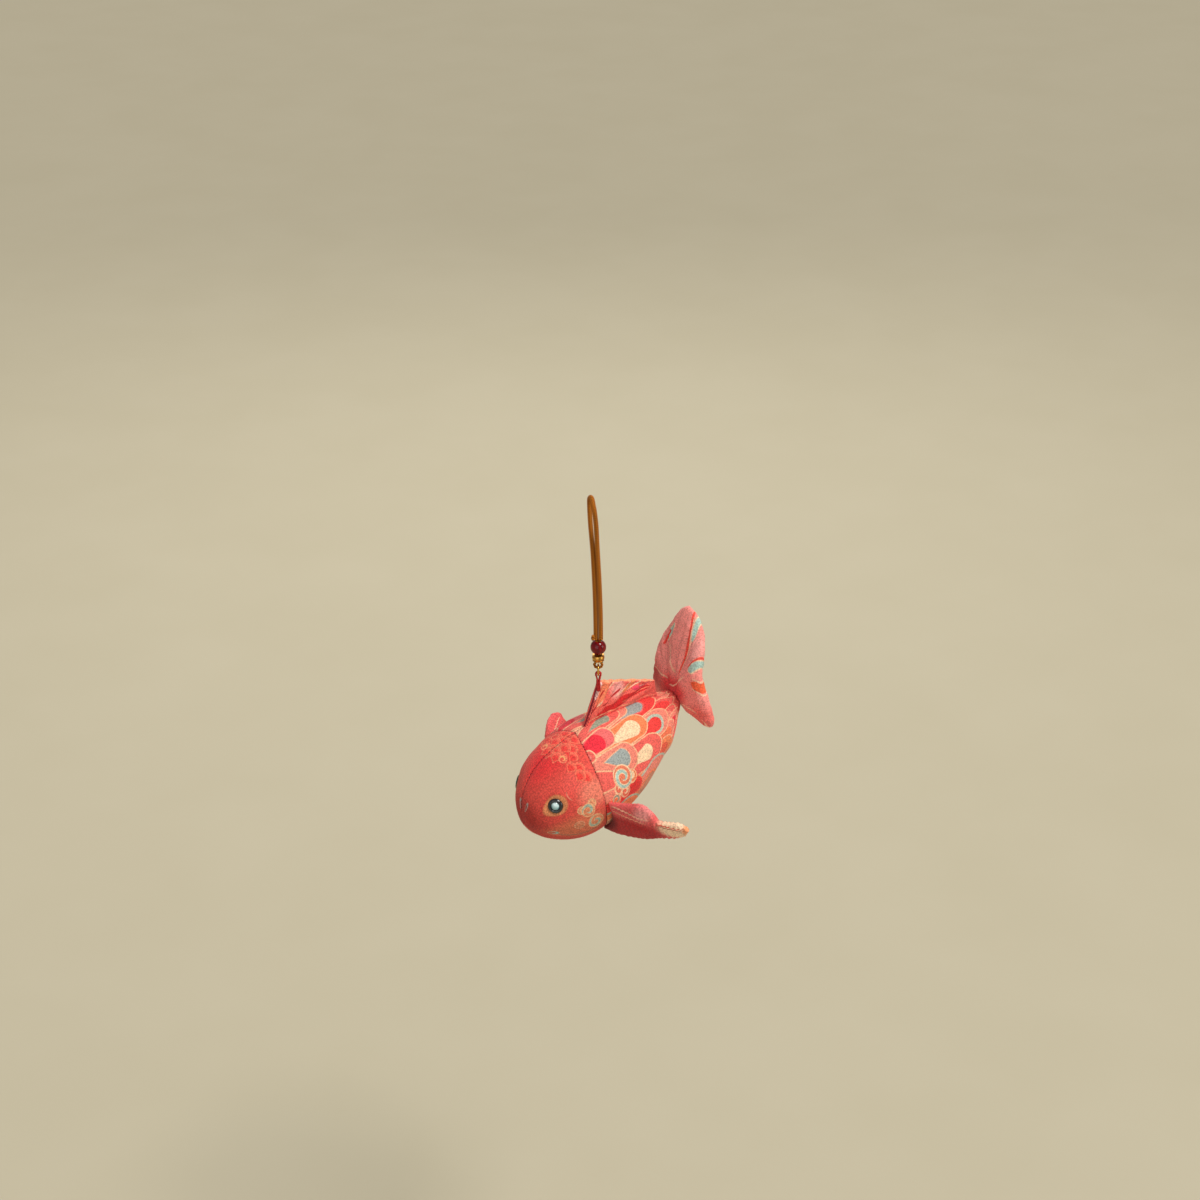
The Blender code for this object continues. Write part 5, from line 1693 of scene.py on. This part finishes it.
@dataclass
class TailFan:
    """The stuffed tail, folded along a middle ridge, with an upper point and two lower lobes."""

    hull: Hull
    rim: tuple[tuple[float, float, float], ...] = (
        (21.0, 0.0, 34.0), (20.6, 4.6, 30.8), (18.0, 8.4, 25.6), (13.4, 11.2, 20.6), (9.6, 12.5, 15.4),
        (7.6, 14.0, 8.4), (6.0, 16.4, 0.6), (4.8, 17.4, -6.4), (4.0, 15.6, -9.7),
        (3.0, 11.6, -8.4), (2.4, 7.4, -5.4),
    )
    root_back: float = 0.85 * MM
    root_sweep: float = 0.9 * MM
    root_half_width: float = 2.4 * MM
    root_rise: float = 1.5 * MM
    root_drop: float = 2.5 * MM
    bow: float = 1.6 * MM
    pad: float = 2.35 * MM
    rows: int = 64
    half_columns: int = 62
    bend: float = 3.4 * MM
    ridge: float = 0.26
    side_crease: float = 0.14
    gather: float = 0.20
    gather_turns: float = 34.0
    tuck: float = 0.13
    tuck_turns: float = 88.0
    swell: float = 0.14
    seam: float = 0.34 * MM
    root_pad: float = 0.25 * MM

    def build(self) -> None:
        """Make the tail."""
        hull = self.hull
        middle = Vector((hull.length, 0.0, hull.middle_height(hull.length)))
        half = smooth_curve([Vector(p) * MM for p in self.rim], self.half_columns + 1)
        edge = [Vector((p.x, -p.y, p.z)) for p in reversed(half)] + half[1:]
        columns = len(edge) - 1
        rows, prints, lifts = [], [], []
        for i in range(self.rows + 1):
            share = i / self.rows
            row, line, thick = [], [], []
            for j, rim in enumerate(edge):
                side = 2.0 * j / columns - 1.0
                root = Vector((
                    self.root_back + self.root_sweep * abs(side),
                    self.root_half_width * side,
                    self.root_rise - self.root_drop * side ** 2,
                ))
                spot = root.lerp(rim, share)
                spot.x += math.sin(math.pi * share) * self.bow * (abs(side) ** 0.5 - 0.5)
                row.append(hull.hang(middle + spot))
                line.append((spot.y / MM, spot.z / MM))
                thick.append(self.thickness(share, side, spot))
            rows.append(row)
            prints.append(line)
            lifts.append(thick)
        tail = pad_object("tail_fan", rows, lambda i, j: lifts[i][j], prints)
        dress(tail, ClothKind.TAIL.make())
        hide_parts("tail_cover_front", "tail_cover_back")
        start = hull.hang(middle)
        end = hull.hang(middle + Vector((self.bend, 0.0, 0.0)))
        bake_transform(tail)
        LOG.info("tail_fan: %d faces, blended from fish to tail", len(tail.data.polygons))

    def thickness(self, share: float, side: float, spot: Vector) -> float:
        """Half the stuffed thickness: a ridge seam, gathers at the root and tucks at the rim."""
        along = hump(share, 0.38, 1.1) * hump(1.0 - share, 0.16, 0.5)
        across = max(1.0 - side ** 4, 0.0) ** 0.6
        crease = 1.0 - self.ridge * bell(side, 0.035) - self.side_crease * bell(abs(side) - 0.46, 0.05)
        gather = 1.0 + self.gather * math.sin(side * self.gather_turns) * max(1.0 - share / 0.45, 0.0)
        tuck = 1.0 + self.tuck * math.sin(side * self.tuck_turns) * hump(share - 0.55, 0.3, 1.0)
        swell = 1.0 + self.swell * noise.noise(spot / (8.0 * MM))
        seam = self.seam * min(hump(1.0 - share, 0.04, 0.5), hump(1.0 - abs(side), 0.04, 0.5))
        stuffed = self.pad * along * across * crease * gather * tuck * swell
        return stuffed + seam + self.root_pad * (1.0 - share)


@dataclass
class Stitching:
    """Stitches laid along a line by Geometry Nodes."""

    thread: bpy.types.Material
    pitch: float = 1.25 * MM
    length: float = 0.85 * MM
    radius: float = 0.12 * MM
    seed: int = 7

    def tree(self) -> bpy.types.NodeTree:
        """Build the node tree that turns a line into a row of stitches."""
        tree = bpy.data.node_groups.new("row of stitches", "GeometryNodeTree")
        make = tree.interface.new_socket
        make("Geometry", in_out="INPUT", socket_type="NodeSocketGeometry")
        for name in ("Pitch", "Stitch Length", "Thread Radius"):
            make(name, in_out="INPUT", socket_type="NodeSocketFloat")
        make("Seed", in_out="INPUT", socket_type="NodeSocketInt")
        make("Thread", in_out="INPUT", socket_type="NodeSocketMaterial")
        make("Geometry", in_out="OUTPUT", socket_type="NodeSocketGeometry")
        graph = Graph(tree)
        given = {s.name: s for s in tree.nodes.new("NodeGroupInput").outputs if s.name}
        line = graph.node("GeometryNodeMeshToCurve")
        graph.feed(line.inputs["Mesh"], given["Geometry"])
        steps = graph.node("GeometryNodeResampleCurve")
        steps.mode = "LENGTH"
        graph.feed(steps.inputs["Curve"], line.outputs[0])
        graph.feed(steps.inputs["Length"], given["Pitch"])
        aim = graph.node("FunctionNodeAlignRotationToVector", {"axis": "Z"})
        graph.feed(aim.inputs["Vector"], graph.node("GeometryNodeInputTangent").outputs[0])
        vary = graph.node("FunctionNodeRandomValue", {"data_type": "FLOAT"})
        for name, value in (("Min", 0.86), ("Max", 1.14)):
            next(s for s in vary.inputs if s.name == name and s.type == "VALUE").default_value = value
        graph.feed(vary.inputs["Seed"], given["Seed"])
        chance = next(s for s in vary.outputs if s.type == "VALUE")
        half = graph.math("MULTIPLY", graph.math("MULTIPLY", given["Stitch Length"], 0.5), chance)
        size = graph.node("ShaderNodeCombineXYZ", X=given["Thread Radius"], Y=given["Thread Radius"], Z=half)
        bead = graph.node("GeometryNodeMeshUVSphere")
        for name, value in (("Segments", 10), ("Rings", 6), ("Radius", 1.0)):
            bead.inputs[name].default_value = value
        laid = graph.node("GeometryNodeInstanceOnPoints")
        for name, fed in (("Points", steps.outputs[0]), ("Instance", bead.outputs["Mesh"]),
                          ("Rotation", aim.outputs[0]), ("Scale", size.outputs[0])):
            graph.feed(laid.inputs[name], fed)
        real = graph.node("GeometryNodeRealizeInstances")
        graph.feed(real.inputs["Geometry"], laid.outputs[0])
        smooth = graph.node("GeometryNodeSetShadeSmooth")
        graph.feed(smooth.inputs["Geometry"], real.outputs[0])
        coloured = graph.node("GeometryNodeSetMaterial")
        graph.feed(coloured.inputs["Geometry"], smooth.outputs[0])
        graph.feed(coloured.inputs["Material"], given["Thread"])
        graph.feed(tree.nodes.new("NodeGroupOutput").inputs[0], coloured.outputs[0])
        return tree

    def sew(self, name: str, lines: Sequence[Sequence[Vector]]) -> bpy.types.Object:
        """Sew rows of stitches.

        Args:
            name: The piece's name.
            lines: Each row's line on the cloth.

        Returns:
            The stitches as one plain mesh.
        """
        points = [tuple(p) for line in lines for p in line]
        edges, first = [], 0
        for line in lines:
            edges += [(first + k, first + k + 1) for k in range(len(line) - 1)]
            first += len(line)
        mesh = bpy.data.meshes.new(f"{name}_line")
        mesh.from_pydata(points, edges, [])
        source = link(f"{name}_line", mesh)
        tree = self.tree()
        modifier = source.modifiers.new("stitches", "NODES")
        modifier.node_group = tree
        keys = {item.name: item.identifier for item in tree.interface.items_tree if item.in_out == "INPUT"}
        values = {"Pitch": self.pitch, "Stitch Length": self.length, "Thread Radius": self.radius,
                  "Seed": self.seed, "Thread": self.thread}
        for key, value in values.items():
            modifier[keys[key]] = value
        graph = bpy.context.evaluated_depsgraph_get()
        sewn = bpy.data.meshes.new_from_object(source.evaluated_get(graph), depsgraph=graph)
        sewn.name = name
        source.modifiers.clear()
        bpy.data.objects.remove(source)
        return dress(link(name, sewn), self.thread)


@dataclass
class Seams:
    """Every visible row of stitches on the fish."""

    hull: Hull
    back_fin: BackFin

    def body_line(self, along: Callable[[float], float], around: Callable[[float], float], inset: float,
                  count: int = 90) -> list[Vector]:
        """A line over the body, from two functions of its share."""
        line = []
        for index in range(count + 1):
            share = index / count
            station, angle = along(share), around(share)
            angle += self.hull.drift(station, angle)
            line.append(self.hull.hang(self.hull.point(station, angle, inset)))
        return line

    def build(self) -> None:
        """Sew the collar, crown, belly and back fin."""
        hull = self.hull
        dark = SpunThread("dark thread", (0.06, 0.006, 0.010), (0.26, 0.020, 0.028)).make()
        red = SpunThread("seam thread", (0.30, 0.016, 0.014), (0.62, 0.060, 0.045)).make()
        seam = math.pi - hull.belly_half_angle
        collar = [self.body_line(
            lambda t: hull.collar(seam * (2.0 * t - 1.0)), lambda t: seam * (2.0 * t - 1.0), 0.16 * MM, 150)]
        crown = [self.body_line(lambda t: (2.0 + 36.0 * t) * MM, lambda t: 0.0, 0.24 * MM)]
        belly = [
            self.body_line(lambda t: (2.0 + 74.0 * t) * MM, lambda t, way=way: way * seam, 0.20 * MM, 120)
            for way in (1.0, -1.0)
        ]
        front = [self.back_fin.seam_path(inward) for inward in (0.9 * MM, 1.9 * MM)]
        for name, lines, thread, pitch, length, radius, seed in (
            ("collar", collar, dark, 1.20, 0.78, 0.10, 3),
            ("crown", crown, dark, 1.35, 0.90, 0.11, 5),
            ("belly", belly, red, 1.30, 0.90, 0.12, 9),
            ("back_fin", front, dark, 1.25, 0.95, 0.10, 11),
        ):
            row = Stitching(thread, pitch * MM, length * MM, radius * MM, seed)
            mount(row.sew(f"{name}_stitches", lines), "fish", "thread")


@dataclass
class Studio:
    """The camera, the pale floor and the soft lights."""

    heading: float = math.radians(38.0)
    elevation: float = math.radians(30.0)
    distance: float = 0.90
    focal: float = 71.0
    look_at: Vector = field(default_factory=lambda: Vector((2.0, -1.5, -79.4)) * MM)
    look_above: float = 33.8 * MM
    aside: float = 0.65 * MM
    floor_drop: float = 250.0 * MM
    floor_half: float = 60.0

    def build_camera(self) -> None:
        """Place the camera."""
        q, e = self.heading, self.elevation
        towards = Vector((-math.sin(q) * math.cos(e), -math.cos(q) * math.cos(e), math.sin(e)))
        up = Vector((math.sin(q) * math.sin(e), math.cos(q) * math.sin(e), math.cos(e)))
        shift = ACROSS * self.aside
        place = self.look_at + towards * self.distance + shift
        target = self.look_at + up * self.look_above + shift
        data = bpy.data.cameras.new("camera")
        data.lens = self.focal
        data.sensor_width = 36.0
        data.clip_start = 0.01
        bpy.context.scene.camera = self.aim("camera", data, place, target - place)

    @staticmethod
    def aim(name: str, data: bpy.types.ID, place: Vector, way: Vector) -> bpy.types.Object:
        """Stand a camera or a light at a place, looking a way."""
        obj = link(name, data)
        obj.location = place
        obj.rotation_euler = way.to_track_quat("-Z", "Y").to_euler()
        return obj

    def build_light(self, name: str, place: Vector, target: Vector, size: float, watts: float,
                    colour: Colour) -> None:
        """One square area light aimed at a target."""
        data = bpy.data.lights.new(name, "AREA")
        data.size = size
        data.energy = watts
        data.color = colour
        self.aim(name, data, place, target - place)

    def build_sun(self, name: str, towards: Vector, spread: float, strength: float, colour: Colour) -> None:
        """A broad, distant light whose rays come from one direction."""
        data = bpy.data.lights.new(name, "SUN")
        data.angle = math.radians(spread)
        data.energy = strength
        data.color = colour
        self.aim(name, data, Vector(), -towards)

    def build_floor(self) -> None:
        """A plain pale floor under the fish."""
        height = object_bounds()[0][2] - self.floor_drop
        half = self.floor_half
        corners = [Vector((x * half, y * half, height)) for x, y in ((-1, -1), (1, -1), (1, 1), (-1, 1))]
        floor = add_object("floor", corners, [(0, 1, 2, 3)])
        finish = Finish("pale floor", 0.9)
        fine = finish.graph.noise(finish.object_place(), 14.0, 2.0).outputs["Fac"]
        finish.colour(finish.graph.ramp(fine, ((0.3, (0.42, 0.378, 0.270)), (0.7, (0.43, 0.388, 0.280)))))
        dress(floor, finish.material)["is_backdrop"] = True

    def build(self) -> None:
        """Set the whole scene."""
        self.build_camera()
        self.build_floor()
        fish = Vector((5.0, -2.0, -105.0)) * MM
        self.build_sun("key", Vector((0.20, -0.40, 0.86)), 24.0, 2.65, (1.0, 0.97, 0.92))
        tail = Vector((42.0, -5.0, -80.0)) * MM
        self.build_light("fill", Vector((-0.9, -0.5, 0.35)), fish, 0.9, 3.0, (0.95, 0.97, 1.0))
        self.build_light("back", Vector((0.6, 0.8, 0.45)), fish, 0.7, 4.0, (1.0, 0.98, 0.95))
        self.build_light("side", Vector((0.55, -0.85, 0.20)), tail, 0.5, 2.2, (1.0, 0.98, 0.95))
        world = bpy.data.worlds.new("room")
        world.use_nodes = True
        world.node_tree.nodes["Background"].inputs["Color"].default_value = (0.98, 0.97, 0.95, 1.0)
        world.node_tree.nodes["Background"].inputs["Strength"].default_value = 0.30
        bpy.context.scene.world = world
        bpy.context.scene.view_settings.view_transform = "Standard"


def dress_hidden(nodes: dict[str, bpy.types.Object]) -> None:
    """Give the CAD nodes inside the fish their own finishes."""
    wadding = Wadding("cotton wadding").make()
    plate = MouldedGloss("washer plastic", (0.70, 0.69, 0.64), (0.86, 0.85, 0.80), 0.45).make()
    for name, node in nodes.items():
        if name.endswith("filling") or "washer" in name:
            dress(node, wadding if name.endswith("filling") else plate)
            LOG.info("%s: kept inside", name)


def main() -> None:
    """Build the charm from the top down, then the studio."""
    logging.basicConfig(level=logging.INFO, format="%(message)s")
    Studio().build()
    HangingCord().build()
    BeadDrop().build()
    hull = Hull()
    PaddedBody(hull).build()
    black = MouldedGloss("black eye", (0.006, 0.006, 0.008), (0.016, 0.015, 0.018), 0.12).make()
    pearly = MouldedGloss("pearly eye", (0.20, 0.40, 0.42), (0.72, 0.84, 0.82), 0.08).make()
    for side in Side:
        FishEye(hull, side).build(black, pearly)
    back_fin = BackFin(hull)
    back_fin.build()
    SideFin(hull, Side.LEFT, ClothKind.LEFT_FIN).build()
    SideFin(hull, Side.RIGHT, ClothKind.RIGHT_FIN, upper=FAR_FIN_UPPER).build()
    TailFan(hull).build()
    Seams(hull, back_fin).build()
    dress_hidden(frame["nodes"])


if __name__ == "__main__":
    main()
